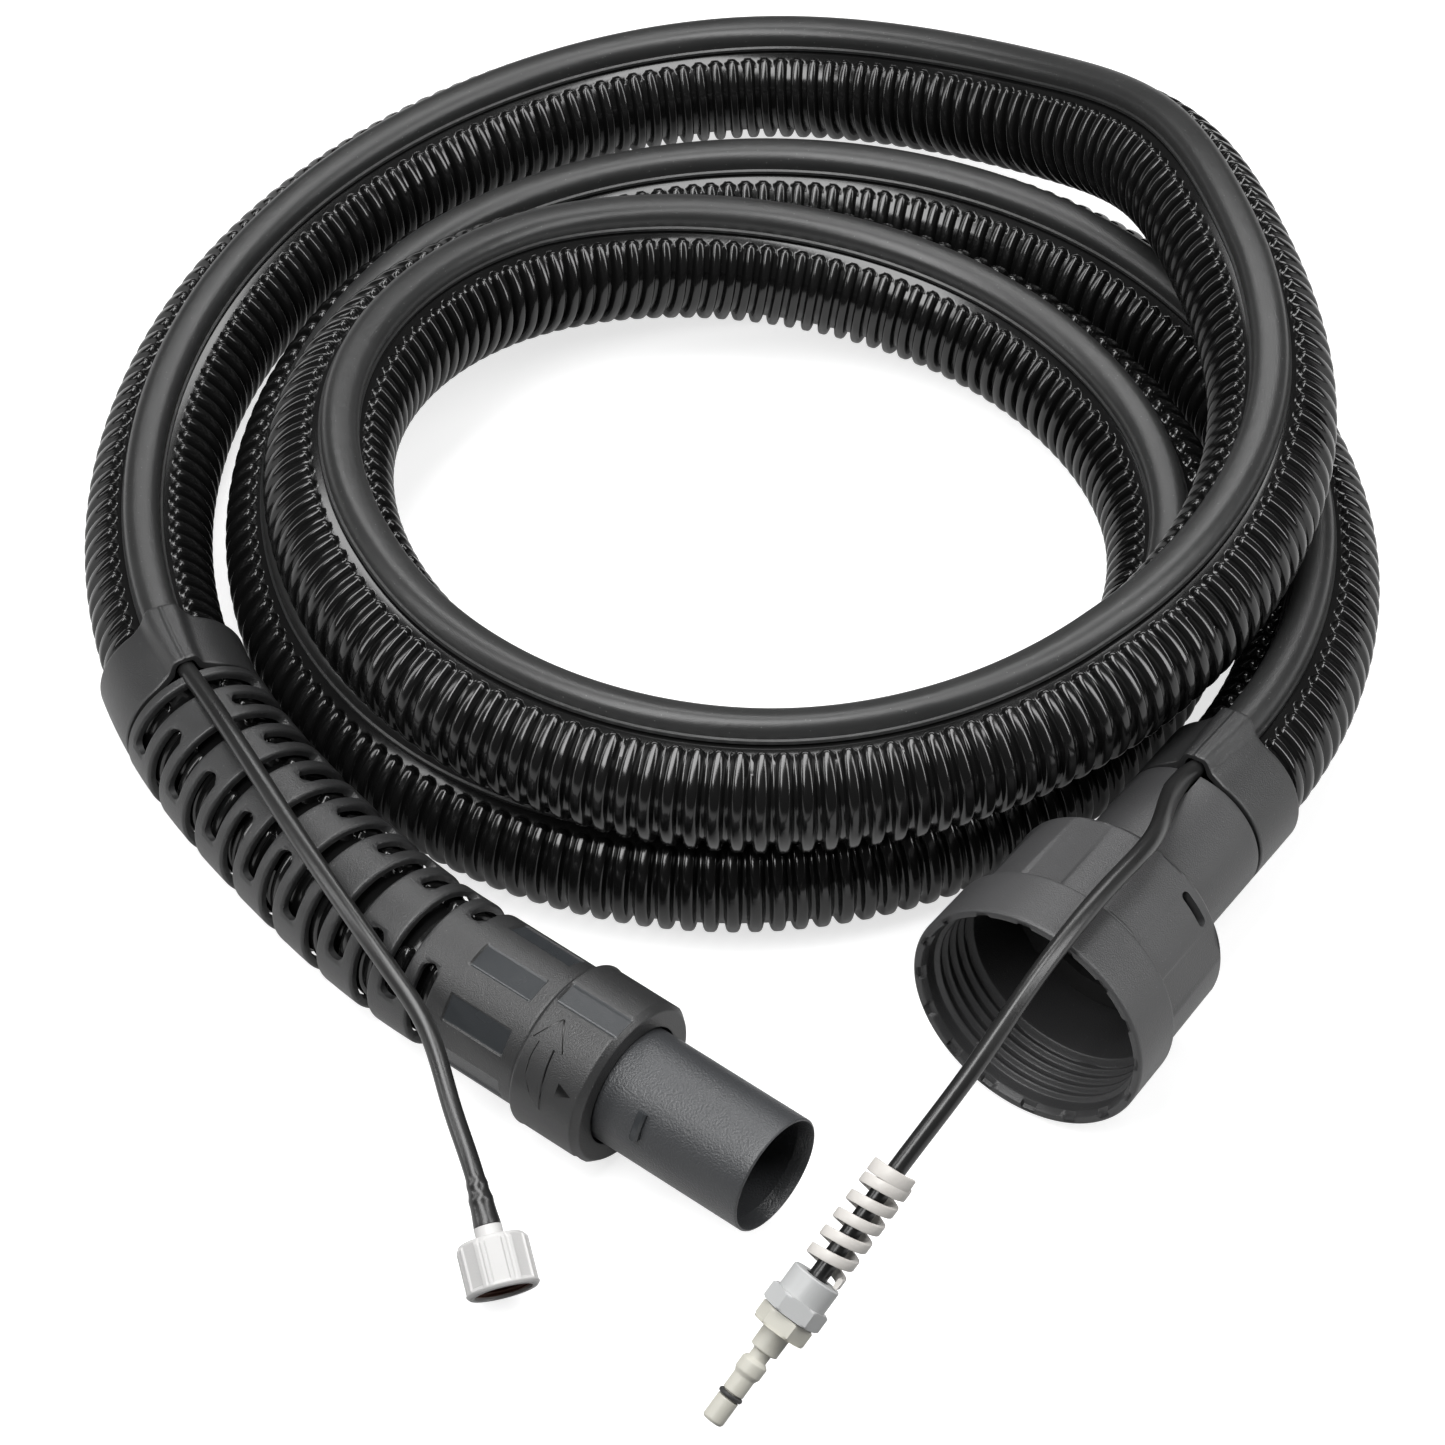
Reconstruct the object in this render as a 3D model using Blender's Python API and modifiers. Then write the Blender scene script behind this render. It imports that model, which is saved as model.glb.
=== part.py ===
"""Suction hose with a built-in spray line, coiled on the floor.

A ribbed suction hose carries a thin spray line in a channel along its top.  The wand end has a
slotted bend sleeve, a turning spigot and a lock ring; the machine end has a neck with a large
screwed coupling nut.  At both ends the spray line leaves the channel through a collar and ends
in its own small fitting.

Lengths are written in millimetres and scaled by MM.  +Z is up, the origin is on the floor under
the middle of the whole lay, and the wand and machine ends lie on the -Y side.  Positions written
below are taken from the middle of the coil.
"""

import math

import bmesh
import bpy
import numpy as np
from mathutils import Matrix, Vector

MM = 0.001
GAP = 0.3

# Middle of the coil, from the origin
COIL_MIDDLE = Vector((12.0, 49.55, 0.0))

# Suction hose
HOSE_RADIUS = 20.5
HOSE_BORE_RADIUS = 16.4
GROOVE_RADIUS = 17.7
GROOVE_HALF_WIDTH = 6.4
NIPPLE_RADIUS = 15.2
PATH_SEGMENTS = 72

# Channel strip that holds the spray line on the hose
CHANNEL_HALF_WIDTH = 5.9
CHANNEL_TOP_RADIUS = 24.9
CHANNEL_WALL = 0.8

# Spray line
LINE_RADIUS = 2.8
LINE_BORE_RADIUS = 1.9
LINE_AXIS_RADIUS = 20.85

# Lay of the hose, from the wand end inwards: polar angle about the coil's middle in degrees,
# distance from the middle, and height of the hose's axis.  The first turn rises onto the two
# turns below it at the right, stays on top along the front and comes down inside at the left.
STATIONS = (
    (224, 197, 25.5),
    (205, 196, 24.2),
    (180, 198, 22.0),
    (150, 203, 21.0),
    (120, 210, 21.0),
    (90, 216, 23.0),
    (60, 199, 43.0),
    (45, 186, 60.5),
    (30, 171, 68.5),
    (0, 159, 69.5),
    (-45, 148, 67.5),
    (-90, 147, 67.0),
    (-135, 145, 67.5),
    (-180, 137, 63.5),
    (-225, 124, 48.0),
    (-270, 114, 33.0),
    (-315, 118, 23.5),
    (-360, 129, 21.0),
    (-405, 133, 21.0),
    (-450, 139, 21.0),
    (-495, 148, 21.0),
    (-540, 153, 21.0),
    (-585, 158, 21.0),
    (-630, 156, 21.0),
    (-675, 162, 21.0),
    (-720, 174, 23.5),
)
# Lean of the channel strip away from the middle of the coil, in degrees, by polar angle
LEAN = (
    (-765, -8),
    (-700, 0),
    (-560, 6),
    (-520, 6),
    (-450, -6),
    (-230, 0),
    (-150, -18),
    (-45, -20),
    (20, 0),
    (222, 3),
)

# Wand end: its axis starts at the joint between the cuff and the lock ring
WAND_ORIGIN = (-61.1, -213.3, 27.2)
WAND_HEADING = -38.5
CUFF_RADIUS = 24.0
CUFF_LENGTH = 31.0
CUFF_BORE_RADIUS = 19.6
SLEEVE_BORE_RADIUS = 21.4
FIRST_SLOT = 16.5
SLOT_COUNT = 14
SLOT_PITCH = 10.0
SLOT_WIDTH = 5.0
SLOT_CHORD = 9.0
SLOT_TURN = 10.0
STRAIGHT_LENGTH = 45.0
SPIGOT_RADIUS = 18.9
SPIGOT_BORE_RADIUS = 16.8
SPIGOT_LENGTH = 80.0
RING_RADIUS = 27.0
RING_LENGTH = 26.5

# Machine end: its axis starts at the mouth of the coupling nut
MACHINE_ORIGIN = (75.3, -215.0, 40.4)
MACHINE_HEADING = -124.0
MACHINE_RISE = 4.1
NUT_BAND_RADIUS = 39.5
NUT_BAND_LENGTH = 20.0
NUT_GRIP_RADIUS = 36.8
NUT_LENGTH = 55.0
NUT_PADS = 8
THREAD_PITCH = 4.5
NECK_RADIUS = 23.6
NECK_END = -95.7

# Collars that end the channel
COLLAR_RADIUS = 23.6
COLLAR_BORE_RADIUS = 21.1
COLLAR_LENGTH = 24.0
TUNNEL_TOP_RADIUS = 27.2
TUNNEL_ROOF_RADIUS = 25.9
TUNNEL_HALF_WIDTH = 7.6
TUNNEL_BORE_HALF_WIDTH = 6.3
LINE_EXIT_RADIUS = 23.2

# Spray line at the wand end: its axis starts at the mouth of the small nut
WAND_NUT_ORIGIN = (-77.3, -292.5, 10.1)
WAND_NUT_HEADING = -74.0
WAND_NUT_RISE = -25.9
WAND_NUT_RADIUS = 11.0
WAND_NUT_LENGTH = 16.0

# Spray line at the machine end: its axis starts at the front of the plug's hexagon
PLUG_ORIGIN = (2.1, -314.5, 22.2)
PLUG_HEADING = -136.0
PLUG_RISE = -34.9
COIL_RADIUS = 6.3
COIL_TURNS = 6.0
COIL_PITCH = 6.3


def reset_scene():
    """Remove every object and make the collections for the parts and the cutters."""
    for item in list(bpy.data.objects):
        bpy.data.objects.remove(item, do_unlink=True)
    scene = bpy.context.scene
    parts = bpy.data.collections.new("vacuum_hose")
    tools = bpy.data.collections.new("cutters")
    scene.collection.children.link(parts)
    scene.collection.children.link(tools)
    return parts, tools


PARTS, TOOLS = reset_scene()


def material(name, colour, roughness, metallic=0.0):
    """A Principled material with one colour."""
    made = bpy.data.materials.new(name)
    made.use_nodes = True
    shader = made.node_tree.nodes["Principled BSDF"]
    shader.inputs["Base Color"].default_value = (*colour, 1.0)
    shader.inputs["Roughness"].default_value = roughness
    shader.inputs["Metallic"].default_value = metallic
    made.diffuse_color = (*colour, 1.0)
    return made


def finish(item, colour, roughness):
    """Give an object its own material and smooth shading with sharp edges kept."""
    item.data.materials.clear()
    item.data.materials.append(material(item.name + "_material", colour, roughness))
    if item.type == "MESH":
        item.data.shade_smooth()
        item.data.set_sharp_from_angle(angle=math.radians(35))
    return item


def link(name, data, collection, matrix=None):
    """A new object in a collection, at a placement."""
    item = bpy.data.objects.new(name, data)
    collection.objects.link(item)
    if matrix is not None:
        item.matrix_world = matrix
    return item


def as_tool(item):
    """Mark an object as a cutter or guide."""
    item.hide_render = True
    item.display_type = "WIRE"
    return item


def axis_frame(origin, heading, rise=0.0):
    """Placement whose local +Z points along the heading and rise, and local +Y leans up."""
    turn = math.radians(heading)
    lift = math.radians(rise)
    ahead = Vector((math.cos(turn) * math.cos(lift), math.sin(turn) * math.cos(lift), math.sin(lift)))
    side = Vector((0.0, 0.0, 1.0)).cross(ahead).normalized()
    upward = ahead.cross(side)
    frame = Matrix((side, upward, ahead)).transposed().to_4x4()
    frame.translation = (COIL_MIDDLE + Vector(origin)) * MM
    return frame


WAND = axis_frame(WAND_ORIGIN, WAND_HEADING)
MACHINE = axis_frame(MACHINE_ORIGIN, MACHINE_HEADING, MACHINE_RISE)
WAND_NUT = axis_frame(WAND_NUT_ORIGIN, WAND_NUT_HEADING, WAND_NUT_RISE)
PLUG = axis_frame(PLUG_ORIGIN, PLUG_HEADING, PLUG_RISE)


def on_axis(frame, distance):
    """A point on a frame's axis, in millimetres."""
    return np.array((frame @ Vector((0.0, 0.0, distance * MM))) / MM)


def heading_of(frame):
    """The unit direction of a frame's axis."""
    return np.array(frame.to_3x3() @ Vector((0.0, 0.0, 1.0)))


def smooth_path(points, start, end, count):
    """Evenly spaced points on the smooth curve through the given points and end directions."""
    points = np.array(points, float)
    spans = np.linalg.norm(np.diff(points, axis=0), axis=1)
    rows = len(points)
    system = np.zeros((rows, rows))
    right = np.zeros((rows, 3))
    system[0, 0] = 1.0
    system[-1, -1] = 1.0
    right[0] = start
    right[-1] = end
    for i in range(1, rows - 1):
        before, after = spans[i - 1], spans[i]
        system[i, i - 1 : i + 2] = after, 2 * (before + after), before
        rise = after * (points[i] - points[i - 1]) / before + before * (points[i + 1] - points[i]) / after
        right[i] = 3 * rise
    slopes = np.linalg.solve(system, right)
    fine = []
    for i, span in enumerate(spans):
        for u in np.linspace(0.0, 1.0, 40, endpoint=False):
            hermite = (
                (2 * u**3 - 3 * u**2 + 1) * points[i]
                + (u**3 - 2 * u**2 + u) * span * slopes[i]
                + (3 * u**2 - 2 * u**3) * points[i + 1]
                + (u**3 - u**2) * span * slopes[i + 1]
            )
            fine.append(hermite)
    fine.append(points[-1])
    fine = np.array(fine)
    travelled = np.concatenate(([0.0], np.cumsum(np.linalg.norm(np.diff(fine, axis=0), axis=1))))
    wanted = np.linspace(0.0, travelled[-1], count + 1)
    return np.column_stack([np.interp(wanted, travelled, fine[:, k]) for k in range(3)])


def hose_path():
    """The hose's axis: straight in the cuff, round the coil, straight into the neck."""
    coil = [
        COIL_MIDDLE + Vector((r * math.cos(math.radians(a)), r * math.sin(math.radians(a)), z))
        for a, r, z in STATIONS
    ]
    first = on_axis(WAND, -STRAIGHT_LENGTH)
    last = on_axis(MACHINE, -124.0)
    bend = smooth_path([first, *coil, last], -heading_of(WAND), heading_of(MACHINE), PATH_SEGMENTS)
    inlet = on_axis(WAND, -22.0)
    outlet = on_axis(MACHINE, -62.0)
    return np.vstack(([inlet], bend, [outlet]))


PATH = hose_path()
TRAVELLED = np.concatenate(([0.0], np.cumsum(np.linalg.norm(np.diff(PATH, axis=0), axis=1))))
POLAR = np.degrees(np.unwrap(np.arctan2(PATH[:, 1] - COIL_MIDDLE.y, PATH[:, 0] - COIL_MIDDLE.x)))
POLAR += 360.0 * round((255.0 - POLAR[0]) / 360.0)
LEANS = np.interp(POLAR, [angle for angle, _ in LEAN], [lean for _, lean in LEAN])


def path_frame(distance):
    """Centre, direction, outward side and strip direction at a distance along the hose."""
    centre = np.array([np.interp(distance, TRAVELLED, PATH[:, k]) for k in range(3)])
    ahead = np.array([np.interp(distance + 1.0, TRAVELLED, PATH[:, k]) for k in range(3)])
    behind = np.array([np.interp(distance - 1.0, TRAVELLED, PATH[:, k]) for k in range(3)])
    along = (ahead - behind) / np.linalg.norm(ahead - behind)
    outward = np.cross((0.0, 0.0, 1.0), along)
    outward /= np.linalg.norm(outward)
    upward = np.cross(along, outward)
    lean = math.radians(float(np.interp(distance, TRAVELLED, LEANS)))
    strip = math.cos(lean) * upward + math.sin(lean) * outward
    return centre, along, outward, strip


def stretch(start, end):
    """Path points and leans between two distances along the hose."""
    inside = (TRAVELLED > start + 1.0) & (TRAVELLED < end - 1.0)
    wanted = np.concatenate(([start], TRAVELLED[inside], [end]))
    points = np.column_stack([np.interp(wanted, TRAVELLED, PATH[:, k]) for k in range(3)])
    return points, np.interp(wanted, TRAVELLED, LEANS)


def poly_curve(name, points, radii=None, tilts=None, cyclic=False):
    """A curve of straight steps through points given in millimetres."""
    data = bpy.data.curves.new(name, "CURVE")
    data.dimensions = "3D"
    data.twist_mode = "Z_UP"
    spline = data.splines.new("POLY")
    spline.points.add(len(points) - 1)
    for index, (target, point) in enumerate(zip(spline.points, points)):
        target.co = (point[0] * MM, point[1] * MM, point[2] * MM, 1.0)
        if radii is not None:
            target.radius = radii[index]
        if tilts is not None:
            target.tilt = -math.radians(tilts[index])
    spline.use_cyclic_u = cyclic
    return data


def section(name, outline):
    """A closed flat outline to sweep along a curve."""
    data = poly_curve(name, [(x, y, 0.0) for x, y in outline], cyclic=True)
    data.dimensions = "2D"
    return as_tool(link(name, data, TOOLS))


def swept(name, points, leans, outline, collection):
    """A closed outline swept along the path points, with its +Y side on the strip's side."""
    data = poly_curve(name, points, tilts=leans)
    data.bevel_mode = "OBJECT"
    data.bevel_object = section(name + "_section", outline)
    data.use_fill_caps = True
    return link(name, data, collection)


def made_mesh(item, collection):
    """The curve object's evaluated shape as a mesh object with its caps welded."""
    name = item.name
    graph = bpy.context.evaluated_depsgraph_get()
    data = bpy.data.meshes.new_from_object(item.evaluated_get(graph))
    matrix = item.matrix_world.copy()
    bpy.data.objects.remove(item, do_unlink=True)
    shape = bmesh.new()
    shape.from_mesh(data)
    bmesh.ops.remove_doubles(shape, verts=shape.verts, dist=0.00001)
    bmesh.ops.recalc_face_normals(shape, faces=shape.faces)
    shape.to_mesh(data)
    shape.free()
    data.name = name
    return link(name, data, collection, matrix)


def cut(item, cutter, operation="DIFFERENCE"):
    """Add a Boolean modifier with a cutter."""
    modifier = item.modifiers.new(cutter.name, "BOOLEAN")
    modifier.operation = operation
    modifier.object = as_tool(cutter)
    return item


def circle(radius, sides, start=0.0):
    """Points round a circle, counterclockwise."""
    turns = [start + 2 * math.pi * k / sides for k in range(sides)]
    return [(radius * math.cos(t), radius * math.sin(t)) for t in turns]


def turned(name, frame, profile, steps=24, collection=None):
    """A closed profile of (radius, height) points turned about the frame's axis."""
    area = sum(a[0] * b[1] - b[0] * a[1] for a, b in zip(profile, profile[1:] + profile[:1]))
    if area > 0:
        profile = profile[::-1]
    shape = bmesh.new()
    ring = [shape.verts.new((r * MM, 0.0, z * MM)) for r, z in profile]
    for here, there in zip(ring, ring[1:] + ring[:1]):
        shape.edges.new((here, there))
    data = bpy.data.meshes.new(name)
    shape.to_mesh(data)
    shape.free()
    item = link(name, data, collection or PARTS, frame)
    screw = item.modifiers.new("turn", "SCREW")
    screw.axis = "Z"
    screw.steps = steps
    screw.render_steps = steps
    screw.use_merge_vertices = True
    screw.merge_threshold = 0.00001
    return item


def blocks(name, frame, placements):
    """Boxes joined in one cutter; each placement is a local matrix and three side lengths."""
    shape = bmesh.new()
    for matrix, sides in placements:
        scale = Matrix.Diagonal((sides[0] * MM, sides[1] * MM, sides[2] * MM, 1.0))
        bmesh.ops.create_cube(shape, size=1.0, matrix=matrix @ scale)
    data = bpy.data.meshes.new(name)
    shape.to_mesh(data)
    shape.free()
    return as_tool(link(name, data, TOOLS, frame))


def polar_place(angle, radius, height):
    """Local placement at an angle from local +Y, at a radius and height, facing outward."""
    turn = Matrix.Rotation(math.radians(angle), 4, "Z")
    return turn @ Matrix.Translation((0.0, radius * MM, height * MM))


def prism(name, frame, sides, across_corners, low, high, collection, turn=0.0):
    """An upright prism between two heights on the frame's axis."""
    shape = bmesh.new()
    middle = Matrix.Translation((0.0, 0.0, (low + high) / 2 * MM)) @ Matrix.Rotation(turn, 4, "Z")
    radius = across_corners / 2 * MM
    bmesh.ops.create_cone(
        shape, cap_ends=True, segments=sides, radius1=radius, radius2=radius,
        depth=(high - low) * MM, matrix=middle,
    )
    data = bpy.data.meshes.new(name)
    shape.to_mesh(data)
    shape.free()
    return link(name, data, collection, frame)


# --- suction hose, channel strip and fixed spray line ---------------------------------------

def build_hose():
    """The hollow hose with a groove along its strip side."""
    floor = math.degrees(math.asin(GROOVE_HALF_WIDTH / HOSE_RADIUS))
    turns = np.radians(np.linspace(90 + floor, 450 - floor, 12))
    outline = [(HOSE_RADIUS * math.cos(t), HOSE_RADIUS * math.sin(t)) for t in turns]
    outline += [(GROOVE_HALF_WIDTH, GROOVE_RADIUS), (-GROOVE_HALF_WIDTH, GROOVE_RADIUS)]
    points, leans = stretch(0.0, TRAVELLED[-1])
    hose = made_mesh(swept("suction_hose", points, leans, outline, PARTS), PARTS)
    longer = points.copy()
    longer[0] += (points[0] - points[1]) * 0.5
    longer[-1] += (points[-1] - points[-2]) * 0.5
    core = swept("hose_bore", longer, leans, circle(HOSE_BORE_RADIUS, 10), TOOLS)
    cut(hose, made_mesh(core, TOOLS))
    return finish(hose, (0.012, 0.012, 0.013), 0.22)


def collar_span(at_wand):
    """Distances along the hose where a collar begins and ends."""
    if at_wand:
        begin = FIRST_SLOT + (SLOT_COUNT - 1) * SLOT_PITCH + 6.9
        return begin, begin + COLLAR_LENGTH
    begin = TRAVELLED[-1] - (62.0 + NECK_END) * -1 - COLLAR_LENGTH - 0.7
    return begin, begin + COLLAR_LENGTH


WAND_COLLAR = collar_span(True)
MACHINE_COLLAR = collar_span(False)


def build_channel():
    """The arched strip that covers the spray line and sits in the hose's groove."""
    half = CHANNEL_HALF_WIDTH
    top = CHANNEL_TOP_RADIUS
    foot = GROOVE_RADIUS + 1.6 * GAP
    inner = LINE_RADIUS + GAP + 0.1
    outline = [
        (half, foot),
        (half, HOSE_RADIUS + 0.6),
        (half * 0.6, top),
        (-half * 0.6, top),
        (-half, HOSE_RADIUS + 0.6),
        (-half, foot),
        (-inner, foot),
        (-inner, top - CHANNEL_WALL),
        (inner, top - CHANNEL_WALL),
        (inner, foot),
    ]
    points, leans = stretch(WAND_COLLAR[0] + 12.0, MACHINE_COLLAR[1] - 12.0)
    strip = made_mesh(swept("line_channel", points, leans, outline, PARTS), PARTS)
    return finish(strip, (0.035, 0.036, 0.038), 0.45)


def build_fixed_line():
    """The spray line inside the channel, from one collar to the other."""
    start, end = WAND_COLLAR[0] + 7.0, MACHINE_COLLAR[1] - 7.0
    inside = TRAVELLED[(TRAVELLED > start + 1.0) & (TRAVELLED < end - 1.0)]
    distances = np.concatenate(([start], inside, [end]))
    points, leans = stretch(start, end)
    above = np.array([p + path_frame(d)[3] * LINE_AXIS_RADIUS for p, d in zip(points, distances)])
    line = made_mesh(swept("spray_line", above, leans, circle(LINE_RADIUS, 6), PARTS), PARTS)
    longer = above.copy()
    longer[0] += (above[0] - above[1]) * 0.2
    longer[-1] += (above[-1] - above[-2]) * 0.2
    core = swept("line_bore", longer, leans, circle(LINE_BORE_RADIUS, 4), TOOLS)
    cut(line, made_mesh(core, TOOLS))
    return finish(line, (0.02, 0.02, 0.021), 0.35)


# --- collars ---------------------------------------------------------------------------------

def tunnel_outline(radius, half_width, top, sides):
    """A circle with a flat-topped bump on its +Y side."""
    root = math.degrees(math.acos(min(1.0, (half_width + 1.2) / radius)))
    turns = np.radians(np.linspace(180 - root, 360 + root, sides))
    outline = [(radius * math.cos(t), radius * math.sin(t)) for t in turns]
    outline += [(half_width, top - 1.6), (half_width - 1.8, top)]
    outline += [(1.8 - half_width, top), (-half_width, top - 1.6)]
    return outline


def build_collar(name, span):
    """A collar round the hose with a raised tunnel over the channel."""
    points, leans = stretch(*span)
    outer = tunnel_outline(COLLAR_RADIUS, TUNNEL_HALF_WIDTH, TUNNEL_TOP_RADIUS, 17)
    inner = tunnel_outline(COLLAR_BORE_RADIUS, TUNNEL_BORE_HALF_WIDTH, TUNNEL_ROOF_RADIUS, 17)
    collar = made_mesh(swept(name, points, leans, outer, PARTS), PARTS)
    longer = points.copy()
    longer[0] += (points[0] - points[1]) * 0.5
    longer[-1] += (points[-1] - points[-2]) * 0.5
    cut(collar, made_mesh(swept(name + "_bore", longer, leans, inner, TOOLS), TOOLS))
    return finish(collar, (0.045, 0.046, 0.048), 0.5)


# --- wand end --------------------------------------------------------------------------------

def build_bend_sleeve():
    """The cuff and the slotted sleeve that lets the hose bend behind it, in one piece."""
    points, leans = stretch(0.0, WAND_COLLAR[0] - 0.7)
    points = np.vstack(([on_axis(WAND, -GAP)], points))
    leans = np.concatenate(([leans[0]], leans))
    sleeve = made_mesh(swept("bend_sleeve", points, leans * 0, circle(CUFF_RADIUS, 16), PARTS), PARTS)
    reach = points[1:].copy()
    reach[0] = on_axis(WAND, -10.0)
    reach[-1] += reach[-1] - reach[-2]
    bore = swept("sleeve_bore", reach, leans[1:] * 0, circle(SLEEVE_BORE_RADIUS, 16), TOOLS)
    cut(sleeve, made_mesh(bore, TOOLS))
    cut(sleeve, prism("cuff_bore", WAND, 24, 2 * CUFF_BORE_RADIUS, -12.0, 5.0, TOOLS))
    placements = []
    for index in range(SLOT_COUNT):
        centre, along, outward, strip = path_frame(FIRST_SLOT + index * SLOT_PITCH)
        upward = np.cross(along, outward)
        basis = Matrix((Vector(outward), Vector(upward), Vector(along))).transposed().to_4x4()
        basis = basis @ Matrix.Rotation(math.radians(-SLOT_TURN), 4, "Z")
        basis.translation = Vector(centre) * MM
        lateral = index % 2 == 0
        for side in (-1.0, 1.0):
            depth = CUFF_RADIUS - SLOT_CHORD + 2.0
            middle = side * (SLOT_CHORD + depth / 2) * MM
            shift = Matrix.Translation((middle, 0.0, 0.0) if lateral else (0.0, middle, 0.0))
            wide = 2 * CUFF_RADIUS + 2.0
            sides = (depth, wide, SLOT_WIDTH) if lateral else (wide, depth, SLOT_WIDTH)
            placements.append((basis @ shift, sides))
    cut(sleeve, blocks("sleeve_slots", Matrix.Identity(4), placements))
    # A notch in the sleeve's rear edge leaves room for the spray line that bends up over it
    centre, along, _, strip = path_frame(WAND_COLLAR[0])
    basis = Matrix((Vector(np.cross(strip, along)), Vector(strip), Vector(along))).transposed().to_4x4()
    basis.translation = Vector(centre + 24.8 * strip) * MM
    cut(sleeve, blocks("sleeve_line_notch", Matrix.Identity(4), [(basis, (10.0, 10.0, 44.0))]))
    pads = [(polar_place(45 * k + 9.5, CUFF_RADIUS + 0.3, -17.0), (8.6, 2.2, 23.0)) for k in range(8)]
    cut(sleeve, blocks("cuff_pads", WAND, pads))
    return finish(sleeve, (0.04, 0.041, 0.043), 0.5)


def build_wand_end():
    """The pieces on the wand axis: hose nipple, seal, bearing ring, spigot and lock ring."""
    nipple = turned("wand_hose_nipple", WAND, [
        (13.2, -46.0), (13.2, -18.7), (20.4, -18.7), (20.4, -21.7),
        (NIPPLE_RADIUS, -21.7), (NIPPLE_RADIUS, -46.0),
    ], 20)
    finish(nipple, (0.05, 0.05, 0.052), 0.5)
    seal = turned("spigot_seal", WAND, [(17.0, -18.4), (20.2, -18.4), (20.2, -17.3), (17.0, -17.3)], 20)
    finish(seal, (0.02, 0.02, 0.02), 0.6)
    bearing = turned("swivel_bearing_ring", WAND, [
        (19.6, -13.2), (20.4, -13.2), (20.4, -10.4), (19.6, -10.4),
    ])
    finish(bearing, (0.5, 0.5, 0.49), 0.45)
    body = [
        (SPIGOT_BORE_RADIUS, SPIGOT_LENGTH - 5.0),
        (SPIGOT_RADIUS - 0.7, SPIGOT_LENGTH),
        (SPIGOT_RADIUS, SPIGOT_LENGTH - 0.8),
        (SPIGOT_RADIUS, -13.5),
        (20.4, -13.5),
        (20.4, -17.0),
        (SPIGOT_BORE_RADIUS, -17.0),
    ]
    spigot = turned("wand_spigot", WAND, body, 24)
    lug = blocks("spigot_lug", WAND, [(polar_place(59, SPIGOT_RADIUS, 42.0), (9.0, 2.6, 3.0))])
    cut(spigot, lug, "UNION")
    finish(spigot, (0.045, 0.046, 0.048), 0.5)
    shell = [
        (CUFF_BORE_RADIUS, RING_LENGTH),
        (25.2, RING_LENGTH),
        (RING_RADIUS, RING_LENGTH - 2.2),
        (RING_RADIUS, 1.6),
        (25.4, GAP),
        (CUFF_BORE_RADIUS, GAP),
    ]
    ring = turned("lock_ring", WAND, shell, 24)
    flats = [(polar_place(60 * k + 3, RING_RADIUS + 0.4, 13.5), (8.0, 2.0, 23.0)) for k in range(6)]
    cut(ring, blocks("ring_flats", WAND, flats))
    finish(ring, (0.04, 0.041, 0.043), 0.5)


# --- machine end -----------------------------------------------------------------------------

def nut_profile():
    """Outline of the coupling nut's wall with its internal thread ridges."""
    outline = [
        (NUT_BAND_RADIUS - 2.6, 0.0),
        (NUT_BAND_RADIUS - 0.5, 0.0),
        (NUT_BAND_RADIUS, -0.7),
        (NUT_BAND_RADIUS - 0.4, -NUT_BAND_LENGTH + 0.4),
        (NUT_GRIP_RADIUS, -NUT_BAND_LENGTH),
        (NUT_GRIP_RADIUS - 0.6, 3.5 - NUT_LENGTH),
        (NUT_GRIP_RADIUS - 4.0, -NUT_LENGTH),
        (NECK_RADIUS + 0.6, -NUT_LENGTH),
        (NECK_RADIUS + 0.6, 2.6 - NUT_LENGTH),
        (33.4, 2.6 - NUT_LENGTH),
        (33.4, -24.5),
        (35.9, -23.0),
    ]
    for turn in range(3):
        crest = -20.0 + turn * THREAD_PITCH
        outline += [(35.9, crest - 1.4), (34.4, crest - 0.4), (34.4, crest + 0.4), (35.9, crest + 1.4)]
    outline.append((35.9, -1.6))
    return outline


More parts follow.
